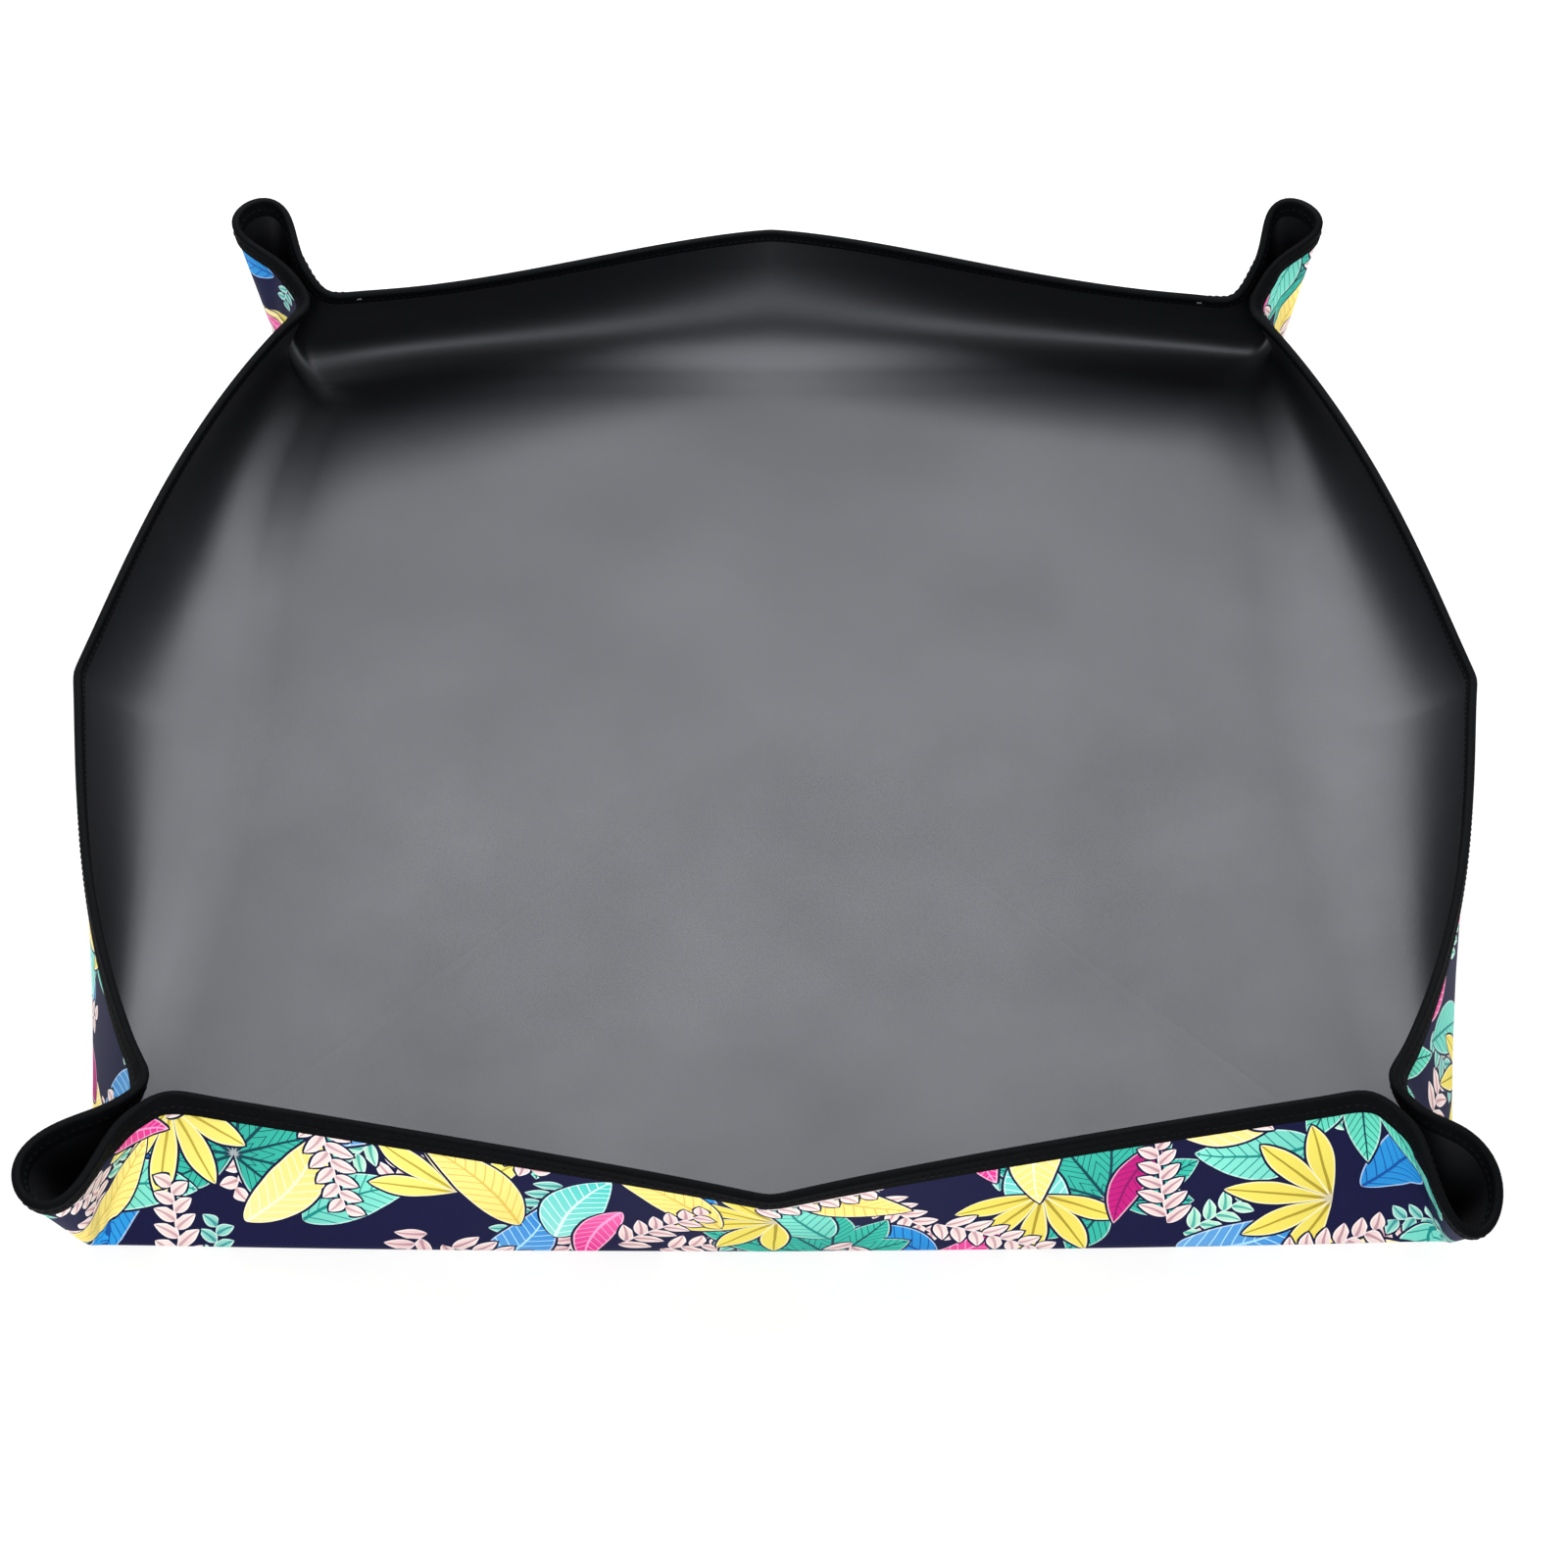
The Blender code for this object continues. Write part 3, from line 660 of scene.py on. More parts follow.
@dataclass
class TrayForm:
    """The liner's inner face as a grid of columns, with its outward normals and its flat pattern.

    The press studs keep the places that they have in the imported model, where the tape's legs are solid_leg
    wide. The legs that show are tape_leg wide until the folds are smoothed, which widens them to 5.6 mm on
    average, and most at the ears.
    """

    sheet_side: float = 0.680
    corner_radius: float = 0.050
    neck_from_corner: float = 0.090
    wall_width: float = 0.0675
    stack: float = 0.0020
    rounding_limit: float = 0.76
    kink_softness: float = 0.02
    bow_power: float = 2.4
    neck_turn: float = 0.016
    neck_half_gap: float = 0.0026
    snap_flange_radius: float = 0.0035
    snap_below_edge: float = 0.0110
    pocket_depth: float = 0.0018
    pocket_full_reach: float = 0.016
    pocket_fade: float = 0.014
    pocket_at_fold: float = 0.4
    solid_leg: float = 0.006
    tape_leg: float = 0.0035
    edge_step: float = 0.008
    fold_passes: int = 4
    eased_columns: int = 12
    easing_passes: int = 12
    wall_columns: int = 44
    ear_columns: int = 30
    neck_crowding: float = 0.55
    tip_crowding: float = 1.2
    ripple_fade: float = 0.12
    dense_steps: int = 120
    floor_rows: tuple[float, ...] = tuple(steps(15, 0.06, 1.0))
    fold_rows: tuple[float, ...] = tuple(steps(7)[1:])
    wall_rows: tuple[float, ...] = tuple(steps(8)[1:-1])
    tape_rows: tuple[float, ...] = (1.0, 0.733, 0.5, 0.267, 0.117, 0.0)

    def __post_init__(self) -> None:
        """Work out the sizes that follow from the others, and the grid."""
        self.fold_half = self.sheet_side / 2 - self.wall_width
        self.neck_along = self.sheet_side / 2 - self.neck_from_corner
        self.ear_edge = self.neck_from_corner - self.corner_radius + self.corner_radius * math.pi / 4
        self.neck_room = self.snap_flange_radius + self.pocket_depth
        # Each side has its wall's angle, its kink's power, its fold's rounding and how far it bows out.
        front = Side((0, -1, 0), math.radians(77), 0.90, 0.004, 0.0031)
        back = Side((0, 1, 0), math.radians(81), 0.67, 0.034, 0.0100, bell=True)
        right = Side((1, 0, 0), math.radians(64.5), 0.80, 0.047, 0.0275)
        left = Side((-1, 0, 0), math.radians(68), 0.86, 0.044, 0.0220)
        # Each corner has its neck's lean and height, the ear's reach, tip height, half width, power, turn and
        # droop, and then how far the fold's corner is drawn in and lifted, and its rounding.
        front_right = Corner((1, -1), 0.0325, 0.060, 0.060, 0.038, 0.0123, 1.15, -0.009, 0.014, 0, 0, 0.004)
        back_right = Corner((1, 1), 0.0355, 0.056, 0.036, 0.098, 0.0115, 2.3, -0.0035, 0, 0.008, 0, 0.018)
        back_left = Corner((-1, 1), 0.048, 0.071, 0.044, 0.104, 0.0115, 2.0, 0.0015, 0, 0.021, 0.010, 0.018)
        front_left = Corner((-1, -1), 0.032, 0.063, 0.065, 0.070, 0.0120, 1.5, 0.010, 0, 0, 0, 0.004)
        self.halves = [
            Half(side, corner)
            for corner, sides in (
                (front_right, (front, right)), (back_right, (right, back)),
                (back_left, (back, left)), (front_left, (left, front)),
            )
            for side in sides
        ]
        self.points, self.flat, self.pocket = self.grid()
        self.normals = self.outward_normals()

    def neck(self, corner: Corner) -> Array:
        """Where the edges meet, on the diagonal."""
        return corner.outward * (self.fold_half - corner.neck_lean) * math.sqrt(2) + UP * corner.neck_height

    def fold_corner_radius(self, corner: Corner) -> float:
        """Radius of the fold's turn at a corner."""
        return max(self.neck_half_gap * math.sqrt(2), corner.rounding / 2)

    @staticmethod
    def to_tip(corner: Corner) -> Array:
        """From the neck to where the tip of the ear would be if it neither turned nor drooped."""
        rise = corner.ear_tip_height + corner.ear_droop - corner.neck_height
        return corner.outward * corner.ear_reach + UP * rise

    def snap_past_neck(self, corner: Corner) -> float:
        """How far past the neck the press stud sits."""
        radius = self.fold_corner_radius(corner)
        inner = self.fold_half - corner.drawn_in - radius
        away = inner * math.sqrt(2) + radius / math.sqrt(2)
        to_fold = corner.outward * away + UP * corner.lift - self.neck(corner)
        edge = unit(self.to_tip(corner))
        lean = float(to_fold @ edge)
        slope = lean / (float(np.linalg.norm(to_fold - edge * lean)) - self.solid_leg)
        return slope * (self.snap_below_edge - self.solid_leg) + self.neck_room * math.hypot(1, slope)

    def wall_edge(self, half: Half, share: Array) -> Array:
        """Points of a wall's upper edge: share 0 is the middle of the side, 1 is the neck."""
        side, corner, soft = half.side, half.corner, self.kink_softness
        turned = ((np.hypot(share, soft) - soft) / (math.hypot(1, soft) - soft)) ** side.kink_power
        if side.bell:
            turned = (1 - np.cos(math.pi * share**side.kink_power)) / 2
        angle = mix(side.angle, math.atan2(corner.neck_height, -corner.neck_lean), turned)
        width = mix(self.wall_width - side.bow, math.hypot(corner.neck_height, corner.neck_lean), share**2)
        reach = self.fold_half + side.bow * (1 - share**self.bow_power) + width * np.cos(angle)
        sideways, height = share * (self.fold_half - corner.neck_lean), width * np.sin(angle)
        return np.outer(sideways, half.along) + np.outer(reach, half.out) + np.outer(height, UP)

    def ear_rim(self, half: Half, share: Array) -> Array:
        """Points of the ear's edge on one side: share 0 is the neck, 1 is the tip."""
        corner, power = half.corner, half.corner.ear_power
        along = 1 - (1 - share) ** 2
        straight = (self.snap_past_neck(corner) + self.neck_room) / corner.ear_reach
        opened = np.maximum(0, along - straight) / (1 - straight)
        fullest = power / (power + 0.5)
        peak = fullest**power * math.sqrt(1 - fullest)
        swell = opened**power * np.sqrt(np.maximum(0, 1 - opened)) / peak
        sideways = self.neck_half_gap * (1 - opened**2) + corner.ear_half_width * swell
        bent = np.cross(UP, corner.outward) * corner.ear_turn - UP * corner.ear_droop
        rim = np.outer(along, self.to_tip(corner)) + np.outer(sideways, half.across)
        return self.neck(corner) + rim + np.outer(opened**2, bent)

    def half_edge(self, half: Half) -> tuple[Array, Array]:
        """The edge from the middle of a side to the tip of the ear, mirrored a little past both ends.

        Args:
            half: the half of a side that it belongs to.

        Returns:
            Distances on the flat edge, and a point for each.
        """
        corner = half.corner
        wall_share = 1 - self.neck_turn / (self.fold_half - corner.neck_lean)
        run = steps(self.dense_steps)
        wall = self.wall_edge(half, run * wall_share)
        ear = self.ear_rim(half, run)
        start, end = wall[-1], ear[0]
        handle = np.linalg.norm(end - start) / 2
        first = start + unit(wall[-1] - wall[-2]) * handle
        last = end - unit(self.to_tip(corner)) * handle
        t = run[1:, None]
        bend = start * (1 - t) ** 3 + first * 3 * t * (1 - t) ** 2 + last * 3 * t**2 * (1 - t) + end * t**3
        near = np.vstack((wall, bend))
        near_flat = self.travelled(near) * self.neck_along
        far_flat = self.neck_along + self.travelled(ear) * self.ear_edge
        flat = np.concatenate((near_flat, far_flat[1:]))
        points = np.vstack((near, ear[1:]))
        before, after = points[1:][::-1], points[:-1][::-1]
        before = before - 2 * np.outer(before @ half.along, half.along)
        after = after - 2 * np.outer((after - points[-1]) @ half.across, half.across)
        flat = np.concatenate((-flat[1:][::-1], flat, 2 * flat[-1] - flat[:-1][::-1]))
        return flat, np.vstack((before, points, after))

    @staticmethod
    def travelled(points: Array) -> Array:
        """Share of a line's length at each of its points."""
        run = run_along(points)
        return run / run[-1]

    def fold(self, half: Half, distance: Array) -> tuple[Array, Array]:
        """Where the lines down from the edge meet the fold.

        Args:
            half: the half of a side that they belong to.
            distance: distances along the flat edge.

        Returns:
            The points and their rounding.
        """
        side, corner, out, along = half.side, half.corner, half.out, half.along
        radius = self.fold_corner_radius(corner)
        straight = self.fold_half - corner.drawn_in - radius
        share = np.minimum(distance / self.neck_along, 1)
        turned = math.pi / 4 * np.maximum(0, distance - self.neck_along) / self.ear_edge
        away = np.outer(np.cos(turned), out) + np.outer(np.sin(turned), along)
        near_corner = share**4
        reach = self.fold_half + side.bow * (1 - share**self.bow_power) - corner.drawn_in * near_corner
        lift = np.outer(corner.lift * near_corner, UP)
        on_wall = np.outer(straight * share, along) + np.outer(reach, out) + lift
        round_corner = (along + out) * straight + away * radius + UP * corner.lift
        past_neck = (distance > self.neck_along)[:, None]
        return np.where(past_neck, round_corner, on_wall), mix(side.rounding, corner.rounding, share**2)

    def flat_edge(self, half: Half, distance: Array) -> Array:
        """Places of the edge on the flat pattern, for distances from the middle of the side."""
        straight = self.sheet_side / 2 - self.corner_radius
        turned = np.maximum(0, distance - straight) / self.corner_radius
        sideways = np.minimum(distance, straight) + self.corner_radius * np.sin(turned)
        outward = straight + self.corner_radius * np.cos(turned)
        return np.outer(sideways, half.along[:2]) + np.outer(outward, half.out[:2])

    def half_columns(self, half: Half, distance: Array) -> tuple[Array, ...]:
        """The columns of half a side.

        Args:
            half: the half of a side.
            distance: distances of the columns along the flat edge.

        Returns:
            Their points, their flat places and how far the cover's pocket is open at each point.
        """
        flat_run, edge = self.half_edge(half)
        shifts = (0, self.edge_step, -self.edge_step)
        rim, ahead, behind = (sampled(distance + shift, flat_run, edge) for shift in shifts)
        fold, rounding = self.fold(half, distance)
        rise = rim - fold
        length = np.linalg.norm(rise, axis=1, keepdims=True)
        leave = fold + rise / length * np.minimum(rounding[:, None], length * self.rounding_limit)
        start = fold * (1 - rounding[:, None] / self.fold_half) * (1, 1, 0)
        direction = unit(ahead - behind)
        down = unit(-rise + direction * np.sum(rise * direction, axis=1, keepdims=True)) * self.tape_leg
        at_fold = self.pocket_at_fold
        rows = [(start * share, 0.0) for share in self.floor_rows]
        rows += [(start * (1 - t) ** 2 + fold * 2 * t * (1 - t) + leave * t**2, at_fold * max(0.0, 2 * t - 1))
                 for t in self.fold_rows]
        rows += [(mix(leave, rim + down, share), mix(at_fold, 1.0, share)) for share in self.wall_rows]
        rows += [(rim + down * share, share) for share in self.tape_rows]
        places, opened = zip(*rows)
        points = np.stack(places, axis=1)
        floor = len(self.floor_rows)
        for _ in range(self.fold_passes):
            middle = points[:, floor:-1]
            points[:, floor:-1] = middle / 2 + (points[:, floor - 1 : -2] + points[:, floor + 1 :]) / 4
        flat = self.flat_rows(points, start[:, :2], fold[:, :2], self.flat_edge(half, distance))
        off = np.abs(distance - self.neck_along - self.snap_past_neck(half.corner))
        pocket = np.clip(1 - (off - self.pocket_full_reach) / self.pocket_fade, 0, 1)
        return points, flat, np.outer(pocket * pocket * (3 - 2 * pocket), opened)

    def flat_rows(self, points: Array, start: Array, fold: Array, rim: Array) -> Array:
        """Flat place of every point: the floor's own, then along the flat line from the floor to the edge."""
        floor = len(self.floor_rows)
        flat = points[:, :, :2].copy()
        run = np.cumsum(np.linalg.norm(np.diff(points[:, floor - 1 :], axis=1), axis=2), axis=1)
        near = np.linalg.norm(fold - start, axis=1)[:, None]
        far = np.linalg.norm(rim - fold, axis=1)[:, None]
        travelled = run / run[:, -1:] * (near + far)
        on_floor = np.minimum(travelled / near, 1)[:, :, None]
        on_wall = np.maximum((travelled - near) / far, 0)[:, :, None]
        flat[:, floor:] = start[:, None] + (fold - start)[:, None] * on_floor
        flat[:, floor:] += (rim - fold)[:, None] * on_wall
        return flat

    def grid(self) -> tuple[Array, Array, Array]:
        """All columns, counter-clockwise round the mat: points, flat places and pocket shares."""
        even = steps(self.wall_columns)
        wall = self.neck_along * mix(even, (1 - np.cos(math.pi * even)) / 2, self.neck_crowding)
        ear = self.neck_along + self.ear_edge * (1 - steps(self.ear_columns, 1, 0)[1:] ** self.tip_crowding)
        distance = np.concatenate((wall, ear))
        # Every second half runs back, from the tip of its ear to the middle of the next side.
        parts = []
        for number, half in enumerate(self.halves):
            kept = slice(None, 0, -1) if number % 2 else slice(None, -1)
            parts.append([array[kept] for array in self.half_columns(half, distance)])
        points, flat, pocket = (np.concatenate(arrays) for arrays in zip(*parts))
        points = self.eased(points) + UP * self.stack
        return self.ripple(points, flat), flat, pocket

    def eased(self, points: Array) -> Array:
        """Points with softer turns of the edge at the necks and softer creases at the fold's corners."""
        per_side = self.wall_columns + self.ear_columns
        past_neck = np.abs(np.arange(len(points)) % (2 * per_side) - per_side) - self.ear_columns
        at_neck = np.clip(1 - np.abs(past_neck) / self.eased_columns, 0, 1)
        at_ear = np.clip(1 - past_neck / self.eased_columns, 0, 1)
        low = np.ones(points.shape[1])
        walls = len(self.wall_rows) + len(self.tape_rows)
        low[-walls:] = np.clip(1 - steps(walls)[1:] * 2, 0, 1)
        weight = np.maximum(np.outer(at_neck, np.ones(len(low))), np.outer(at_ear, low))[:, :, None] / 2
        for _ in range(self.easing_passes):
            between = (np.roll(points, 1, axis=0) + np.roll(points, -1, axis=0)) / 2
            points = points + weight * (between - points)
        return points

    def ripple(self, points: Array, flat: Array) -> Array:
        """Points with the slow, shallow waves of a cloth that was folded and laid out, floor only."""
        # Each wave has its turns along x and y, its lag and its height.
        waves = (
            (31.0, 12.0, 0.4, 0.00030), (-17.0, 43.0, 1.9, 0.00024), (58.0, -36.0, 3.1, 0.00013),
            (23.0, 74.0, 0.8, 0.00010), (-71.0, -19.0, 2.3, 0.00010),
        )
        height = sum(size * (1 + np.sin(flat[:, :, 0] * kx + flat[:, :, 1] * ky + lag))
                     for kx, ky, lag, size in waves)
        share = np.zeros(points.shape[1])
        floor = np.array(self.floor_rows)
        share[: len(floor)] = np.clip((1 - floor) / self.ripple_fade, 0, 1)
        return points + (height * share)[:, :, None] * UP

    def outward_normals(self) -> Array:
        """Unit normals of the inner face that point out of the tray."""
        round_mat = np.roll(self.points, -1, axis=0) - np.roll(self.points, 1, axis=0)
        normals = unit(np.cross(round_mat, np.gradient(self.points, axis=1)))
        normals[:, : len(self.floor_rows)] = -UP
        return normals

    def face(self, distance: float, pocket: float = 0.0) -> Array:
        """The face at a distance outside the inner one, standing off more where the pocket is open."""
        return self.points + self.normals * (distance + pocket * self.pocket)[:, :, None]


# Meshes


def linked(name: str, data: bpy.types.ID) -> Piece:
    """A new object in the scene."""
    piece = bpy.data.objects.new(name, data)
    bpy.context.scene.collection.objects.link(piece)
    return piece


def new_piece(name: str, points: Array, faces: list, flat: Array, material: Material,
              sharp: float = 40.0) -> Piece:
    """Make a mesh piece, smooth but for its sharp edges.

    Args:
        name: the piece's name.
        points: its vertices.
        faces: vertex numbers of each face.
        flat: flat place of each corner of each face in turn, in metres.
        material: its material.
        sharp: angle in degrees past which an edge stays sharp.

    Returns:
        The object, at the origin.
    """
    mesh = bpy.data.meshes.new(name)
    mesh.from_pydata(points.tolist(), [], faces)
    layer = mesh.uv_layers.new(name=UV_NAME)
    layer.data.foreach_set("uv", np.asarray(flat, dtype=np.float32).ravel())
    mesh.materials.append(material)
    mesh.shade_smooth()
    mesh.set_sharp_from_angle(angle=math.radians(sharp))
    return linked(name, mesh)


def rings(count: int, size: int, first: int, closed: bool) -> Array:
    """Faces between neighbouring rows of vertices that close into a ring.

    Args:
        count: number of rows.
        size: vertices in each row.
        first: number of the first vertex.
        closed: True if each row is a closed loop too.

    Returns:
        Four vertex numbers for each face.
    """
    column = np.arange(count)[:, None]
    row = np.arange(size if closed else size - 1)[None, :]
    following, above = (column + 1) % count, (row + 1) % size
    corners = (column * size + row, column * size + above, following * size + above, following * size + row)
    return first + np.stack(np.broadcast_arrays(*corners), axis=-1).reshape(-1, 4)


def closed_sheet(name: str, near: Array, far: Array, flat: Array, material: Material) -> Piece:
    """Make a closed sheet of cloth between two faces of a tray.

    Args:
        name: the piece's name.
        near: grid of the face towards the tray's inside.
        far: grid of the face away from it.
        flat: flat place of each grid point.
        material: its material.

    Returns:
        The object.
    """
    count, size = near.shape[:2]
    total = count * size
    points = np.vstack((
        near.reshape(-1, 3), far.reshape(-1, 3), near[:, 0].mean(axis=0), far[:, 0].mean(axis=0),
    ))
    places = np.vstack((flat.reshape(-1, 2), flat.reshape(-1, 2), (0, 0), (0, 0)))
    top = rings(count, size, 0, False)
    bottom = rings(count, size, total, False)[:, ::-1]
    rim = np.arange(count) * size + size - 1
    next_rim = np.roll(rim, -1)
    edge = np.stack((rim, rim + total, next_rim + total, next_rim), axis=1)
    centre = np.arange(count) * size
    next_centre = np.roll(centre, -1)
    pole = np.full(count, 2 * total)
    faces = np.vstack((top, bottom, edge)).tolist()
    faces += np.stack((pole, centre, next_centre), axis=1).tolist()
    faces += np.stack((pole + 1, next_centre + total, centre + total), axis=1).tolist()
    corners = np.concatenate([np.asarray(face) for face in faces])
    return new_piece(name, points, faces, places[corners], material)


@dataclass
class ClothTray:
    """The two plies that make the tray."""

    form: TrayForm
    liner_thickness: float = 0.0009
    cover_thickness: float = 0.0008
    touch_gap: float = 0.0003

    def build(self) -> Pieces:
        """Make both plies.

        Returns:
            The pieces by name.
        """
        form = self.form
        cover_near = self.liner_thickness + self.touch_gap
        cover_far = cover_near + self.cover_thickness
        liner = closed_sheet(
            "liner_cloth", form.face(0), form.face(self.liner_thickness), form.flat, CoatedCloth().make(),
        )
        cover = closed_sheet(
            "cover_cloth", form.face(cover_near, form.pocket_depth), form.face(cover_far, form.pocket_depth),
            form.flat, PrintedCloth().make(),
        )
        self.dress(liner, "coated_liner")
        self.dress(cover, "printed_cover")
        return {"liner": liner, "cover": cover}

    def dress(self, piece: Piece, node: str) -> None:
        """Fasten a ply to the frame in place of its plain solid."""
        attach(piece, BODY)
        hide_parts(node)


@dataclass
class EdgeTrim:
    """The binding tape round the edge, its two rows of stitches, and the tacks at the back necks."""

    form: TrayForm
    tape_thickness: float = 0.0006
    tape_gap: float = 0.0002
    hem_swell: float = 0.00025
    stitch_length: float = 0.0026
    stitch_pitch: float = 0.0034
    thread_width: float = 0.00055
    stitch_row: int = 1
    tack_row: int = 2
    tack_past_neck: float = 0.016
    tack_length: float = 0.0034
    tack_strands: int = 9
    tack_spread: float = 0.55
    tack_strand_share: float = 0.6
    edge_fullness: float = 1.3
    edge_steps: int = 8
    inner_edge_steps: int = 4
    stitch_straight: float = 0.5
    stitch_taper: float = 0.5
    thread_sides: int = 6

    def section_faces(self) -> list[tuple[int, float, float]]:
        """The tape's section as (row from the edge of the cloth, depth past the rim, height over the face).

        The list goes along the outer skin from the hem inside the tray, over the rim, to the hem outside,
        and back along the inner skin. Heights are over the inner face, and rows count down from the rim.
        """
        rows = len(self.form.tape_rows)
        out, gap, skin = self.form.stack, self.tape_gap, self.tape_gap + self.tape_thickness
        hem = skin + self.hem_swell
        legs = list(range(rows - 1, -1, -1))
        inside = [(row, 0.0, -(hem if row >= rows - 2 else skin)) for row in legs]
        outside = [(row, 0.0, out + (hem if row >= rows - 2 else skin)) for row in reversed(legs)]
        middle, reach = out / 2, out / 2 + skin
        past, under = self.edge_fullness * skin, middle + gap
        turn = [(0, past * math.sin(angle), middle - reach * math.cos(angle))
                for angle in steps(self.edge_steps, 0, math.pi)[1:-1]]
        back_turn = [(0, gap * math.sin(angle), middle + under * math.cos(angle))
                     for angle in steps(self.inner_edge_steps, 0, math.pi)[1:-1]]
        back_out = [(row, 0.0, out + gap) for row in legs]
        back_in = [(row, 0.0, -gap) for row in reversed(legs)]
        return inside + turn + outside + back_out + back_turn + back_in

    def binding(self, material: Material) -> Piece:
        """Make the tape folded over the edge, all round the mat.

        Args:
            material: its material.

        Returns:
            The tape.
        """
        form = self.form
        section = self.section_faces()
        rim = form.points[:, -1]
        outward = unit(rim - form.points[:, -2])
        loop = []
        for row, past, height in section:
            offset = np.full(len(rim), height)
            if height > form.stack:
                offset = offset + form.pocket_depth * form.pocket[:, -1 - row]
            place = form.points[:, -1 - row] + form.normals[:, -1 - row] * offset[:, None]
            loop.append(place + outward * past)
        grid = np.stack(loop, axis=1)
        count, size = grid.shape[:2]
        faces = rings(count, size, 0, True)
        around = self.run_round(rim)
        across = run_along(grid[0])
        across = np.append(across, across[-1] + self.tape_thickness)
        column, row = np.divmod(np.arange(count * size), size)
        corners = ((0, 0), (0, 1), (1, 1), (1, 0))
        flat = np.stack([np.stack((around[column + c], across[row + r]), axis=1) for c, r in corners], axis=1)
        return new_piece("binding_tape", grid.reshape(-1, 3), faces.tolist(), flat, material, sharp=50.0)

    @staticmethod
    def run_round(line: Array) -> Array:
        """Distance along a closed line at each of its points, and back at the first."""
        return run_along(np.vstack((line, line[:1])))

    def one_stitch(self) -> tuple[Array, list]:
        """Model one stitch along X, its two ends tapered and drawn down into the cloth.

        Returns:
            Its vertices and faces.
        """
        bpy.ops.object.select_all(action="DESELECT")
        half = self.stitch_length / 2
        bpy.ops.mesh.primitive_cylinder_add(
            vertices=self.thread_sides, radius=self.thread_width / 2,
            depth=self.stitch_length * self.stitch_straight, rotation=(0, math.pi / 2, 0),
        )
        stitch = bpy.context.active_object
        bpy.ops.object.transform_apply(location=True, rotation=True, scale=True)
        for end in (1, -1):
            bpy.ops.object.mode_set(mode="EDIT")
            bpy.ops.mesh.select_all(action="DESELECT")
            bpy.ops.object.mode_set(mode="OBJECT")
            for polygon in stitch.data.polygons:
                polygon.select = polygon.normal.x * end > math.sqrt(0.5)
            bpy.ops.object.mode_set(mode="EDIT")
            bpy.ops.mesh.select_mode(type="FACE")
            down = -self.thread_width / 2
            move = (end * half * (1 - self.stitch_straight), 0, down)
            bpy.ops.mesh.extrude_region_move(TRANSFORM_OT_translate={"value": move})
            value = (1, self.stitch_taper, self.stitch_taper)
            bpy.ops.transform.resize(value=value, center_override=(end * half, 0, down))
            bpy.ops.object.mode_set(mode="OBJECT")
        points = np.array([vertex.co[:] for vertex in stitch.data.vertices])
        faces = [list(polygon.vertices) for polygon in stitch.data.polygons]
        bpy.data.objects.remove(stitch, do_unlink=True)
        return points, faces

    def sewn(self, name: str, places: Array, along: Array, up: Array, size: Array,
             material: Material) -> Piece:
        """Make a piece of many stitches.

        Args:
            name: the piece's name.
            places: centre of each stitch.
            along: its direction.
            up: the direction away from the cloth.
            size: how long each is beside the plain stitch.
            material: the thread's material.

        Returns:
            The stitches as one piece.
        """
        shape, shape_faces = self.one_stitch()
        along = unit(along)
        up = unit(up - along * np.sum(up * along, axis=1, keepdims=True))
        side = np.cross(up, along)
        points = (
            places[:, None] + shape[None, :, 0:1] * size[:, None, None] * along[:, None]
            + shape[None, :, 1:2] * side[:, None] + shape[None, :, 2:3] * up[:, None]
        )
        first = np.arange(len(places)) * len(shape)
        faces = [[start + v for v in face] for start in first.tolist() for face in shape_faces]
        order = np.concatenate([np.asarray(face) for face in shape_faces])
        bearing = np.arctan2(shape[order, 1], shape[order, 2])
        flat = np.tile(np.stack((shape[order, 0], bearing * self.thread_width), axis=1), (len(places), 1))
        return new_piece(name, points.reshape(-1, 3), faces, flat, material, sharp=60.0)

    def topstitching(self, material: Material) -> Piece:
        """Make the stitches along both legs of the tape, close to their hems."""
        form = self.form
        row = -len(form.tape_rows) + self.stitch_row
        skin = self.tape_gap + self.tape_thickness + self.hem_swell
        chosen = []
        for side, offset in ((-1, skin), (1, form.stack + skin + form.pocket_depth * form.pocket[:, row])):
            line = form.points[:, row] + form.normals[:, row] * np.reshape(side * offset, (-1, 1))
            run = self.run_round(line)
            count = int(run[-1] / self.stitch_pitch)
            at = (np.arange(count) + 0.5) * run[-1] / count
            closed = np.vstack((line, line[:1]))
            normals = np.vstack((form.normals[:, row], form.normals[:1, row]))
            shifts = (self.stitch_length / 2, -self.stitch_length / 2, 0)
            ahead, behind, middle = (sampled(at + shift, run, closed) for shift in shifts)
            chosen.append((middle, ahead - behind, sampled(at, run, normals) * side))
        places, along, up = (np.vstack(arrays) for arrays in zip(*chosen))
        return self.sewn("topstitching", places, along, up, np.ones(len(places)), material)

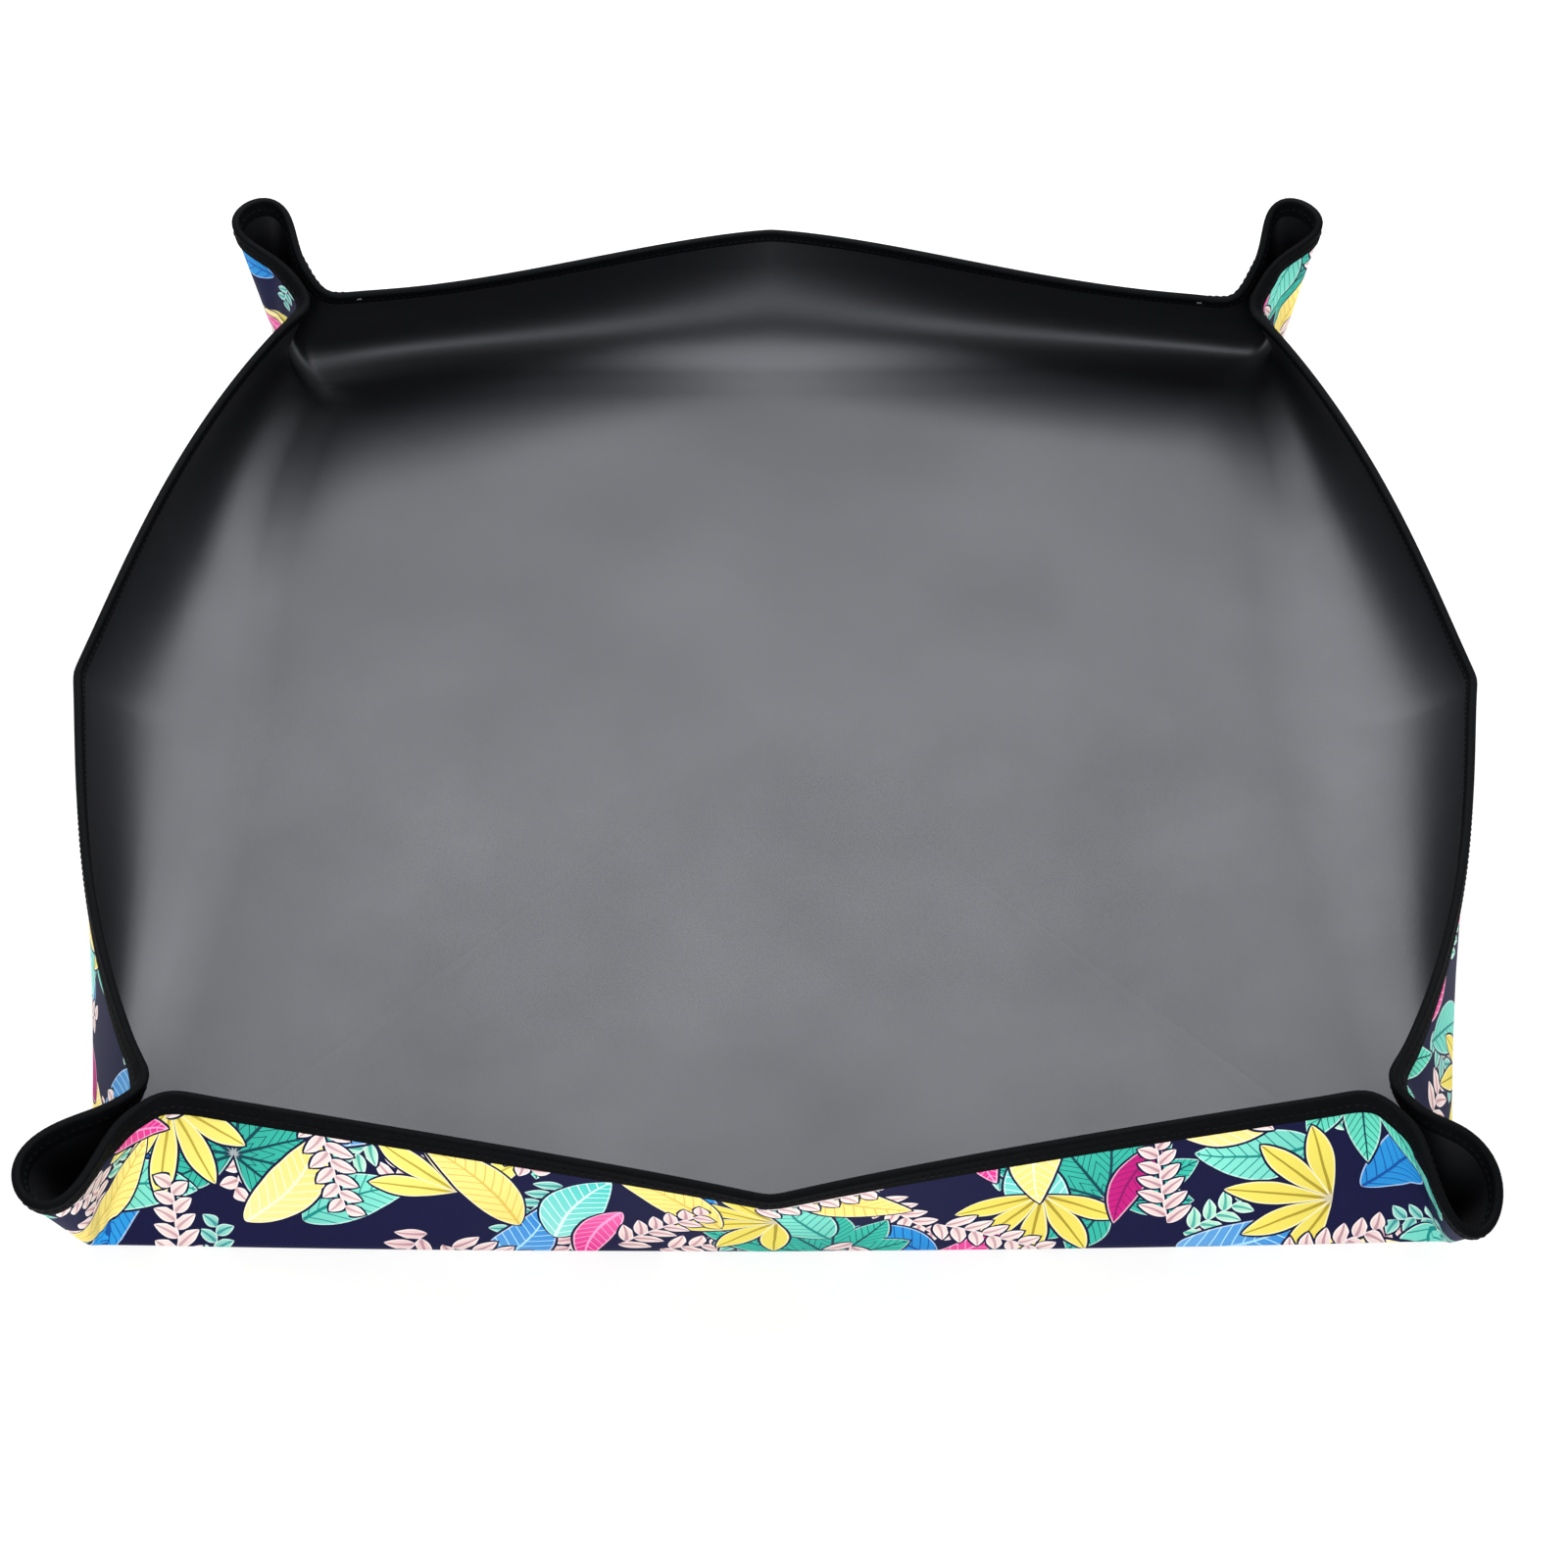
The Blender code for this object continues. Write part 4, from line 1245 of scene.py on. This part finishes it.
    def tacks(self, material: Material) -> Piece:
        """Make the bar tacks on the back wall's edge, one beside each back neck."""
        form = self.form
        per_side = form.wall_columns + form.ear_columns
        skin = self.tape_gap + self.tape_thickness
        row = -len(form.tape_rows) + self.tack_row
        chosen = []
        for corner, step in ((1, 1), (2, -1)):
            tip = (2 * corner + 1) * per_side
            neck = tip + step * form.ear_columns
            line = form.points[:, row] - form.normals[:, row] * skin
            column = neck
            while np.linalg.norm(line[column] - line[neck]) < self.tack_past_neck:
                column += step
            along = unit(line[column + 1] - line[column - 1])
            up = -form.normals[column, row]
            across = np.cross(up, along)
            for shift in steps(self.tack_strands - 1, -0.5, 0.5) * self.tack_length * self.tack_spread:
                chosen.append((line[column] + along * shift, across, up))
        places, along, up = (np.array(values) for values in zip(*chosen))
        size = np.full(len(places), self.tack_length * self.tack_strand_share / self.stitch_length)
        return self.sewn("bar_tacks", places, along, up, size, material)

    def build(self) -> Pieces:
        """Make the tape and its sewing.

        Returns:
            The pieces by name.
        """
        tape = self.binding(WovenTape().make())
        stitches = self.topstitching(SewingThread("polyester_thread_black", "#0b0c0e").make())
        tacks = self.tacks(SewingThread("polyester_thread_grey", "#8a8c90").make())
        for piece in (tape, stitches, tacks):
            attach(piece, BODY)
        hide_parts("edge_binding")
        return {"tape": tape, "stitches": stitches, "tacks": tacks}


@dataclass
class PressStuds:
    """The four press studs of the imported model, which keep their shape."""

    kinds: tuple[str, ...] = ("stud", "socket", "stud_backing", "socket_backing")
    corners: tuple[str, ...] = ("front_right", "back_right", "back_left", "front_left")

    def build(self) -> Pieces:
        """Give every piece of the studs its steel.

        Returns:
            The pieces by name.
        """
        steel = BlackenedSteel().make()
        found = {}
        for corner in self.corners:
            for kind in self.kinds:
                name = f"{kind}_{corner}"
                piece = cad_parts[name]
                for slot in piece.material_slots:
                    slot.material = steel
                found[name] = piece
        return found


@dataclass
class Studio:
    """A plain pale floor, soft light and a camera at the photograph's angle."""

    camera_place: tuple[float, float, float] = (0.0041, -0.8639, 0.9799)
    camera_down: float = 0.8658
    camera_yaw: float = 0.0022
    camera_roll: float = -0.0007
    lens: float = 64.82
    sensor: float = 36.0
    floor_size: float = 12.0
    floor_drop: float = 0.0003
    softbox_place: tuple[float, float, float] = (0.03, 0.87, 1.20)
    softbox_layers: tuple[tuple[float, float, float], ...] = ((1.7, 1.16, 42.0), (2.5, 1.28, 17.0))
    layer_spacing: float = 0.02
    fill_place: tuple[float, float, float] = (0.0, -2.2, 0.9)
    fill_size: tuple[float, float] = (2.4, 1.4)
    fill_power: float = 38.0
    fill_aim: tuple[float, float, float] = (0.0, 0.0, 0.03)
    sky: float = 0.42
    floor_glow: float = 0.86

    def camera(self) -> Piece:
        """Make the camera."""
        yaw, down = self.camera_yaw, self.camera_down
        ahead = Vector((math.sin(yaw) * math.cos(down), math.cos(yaw) * math.cos(down), -math.sin(down)))
        right = Vector((math.cos(yaw), -math.sin(yaw), 0))
        up = right.cross(ahead)
        cosine, sine = math.cos(self.camera_roll), math.sin(self.camera_roll)
        right, up = right * cosine + up * sine, up * cosine - right * sine
        data = bpy.data.cameras.new("camera")
        data.lens, data.sensor_width, data.sensor_fit = self.lens, self.sensor, "HORIZONTAL"
        data.clip_start, data.clip_end = 0.01, 100
        camera = linked("camera", data)
        turn = Matrix((right, up, -ahead)).transposed().to_4x4()
        camera.matrix_world = Matrix.Translation(self.camera_place) @ turn
        bpy.context.scene.camera = camera
        return camera

    def lamp(self, name: str, place: tuple, size: tuple, power: float) -> Piece:
        """Make a rectangular softbox that faces the mat.

        Args:
            name: the lamp's name.
            place: its centre.
            size: its width and height.
            power: its power in watts.

        Returns:
            The lamp.
        """
        data = bpy.data.lights.new(name, "AREA")
        data.shape, data.size, data.size_y, data.energy = "RECTANGLE", *size, power
        lamp = linked(name, data)
        lamp.visible_camera = False
        lamp.location = place
        return lamp

    def floor(self) -> Piece:
        """Make the pale floor. What the camera sees of it is lifted towards white and keeps the shadow."""
        bpy.ops.object.select_all(action="DESELECT")
        bpy.ops.mesh.primitive_plane_add(size=self.floor_size, location=(0, 0, -self.floor_drop))
        floor = bpy.context.active_object
        floor.name = "studio_floor"
        bpy.ops.object.transform_apply(location=True, rotation=True, scale=True)
        floor.data.materials.append(new_material("studio_floor_matt_paint", f"""
            ray = LightPath
            mirrored = MAXIMUM ray.Is_Glossy_Ray ray.Is_Transmission_Ray
            seen = MAXIMUM ray.Is_Camera_Ray mirrored
            paint = BsdfDiffuse #f4f4f4
            thin_paint = BsdfDiffuse #7c7c7c
            glow = Emission #ffffff {self.floor_glow}
            lifted = AddShader thin_paint glow
            shader = MixShader seen paint lifted
        """))
        return floor

    def sky_light(self) -> None:
        """Light everything evenly from a white world."""
        world = bpy.data.worlds.new("studio")
        world.use_nodes = True
        world.node_tree.nodes.clear()
        lay_out(world.node_tree, f"""
            ray = LightPath
            level = MapRange ray.Is_Camera_Ray 0 1 {self.sky} 1
            white = Background #ffffff level
            out = OutputWorld white
        """)
        bpy.context.scene.world = world

    def build(self) -> Pieces:
        """Make the studio.

        Returns:
            The camera, floor and lamps by name.
        """
        lamps = {}
        for number, (width, depth, power) in enumerate(self.softbox_layers):
            name = f"softbox_layer_{number + 1}"
            place = Vector(self.softbox_place) + Vector((0, 0, number * self.layer_spacing))
            lamps[name] = self.lamp(name, place, (width, depth), power)
        fill = self.lamp("front_fill", self.fill_place, self.fill_size, self.fill_power)
        aim = Vector(self.fill_aim) - Vector(self.fill_place)
        fill.rotation_euler = aim.to_track_quat("-Z", "Y").to_euler()
        self.sky_light()
        bpy.context.scene.view_settings.view_transform = "Standard"
        return {"camera": self.camera(), "floor": self.floor(), "fill": fill, **lamps}


def main() -> None:
    """Build every sub-assembly in order and report its pieces."""
    logging.basicConfig(level=logging.INFO, format="%(message)s")
    form = TrayForm()
    for part in (Studio(), ClothTray(form), EdgeTrim(form), PressStuds()):
        for name, piece in part.build().items():
            faces = len(piece.data.polygons) if piece.type == "MESH" else 0
            log.info("%s %s: %s, %d faces", type(part).__name__, name, piece.name, faces)


if __name__ == "__main__":
    main()
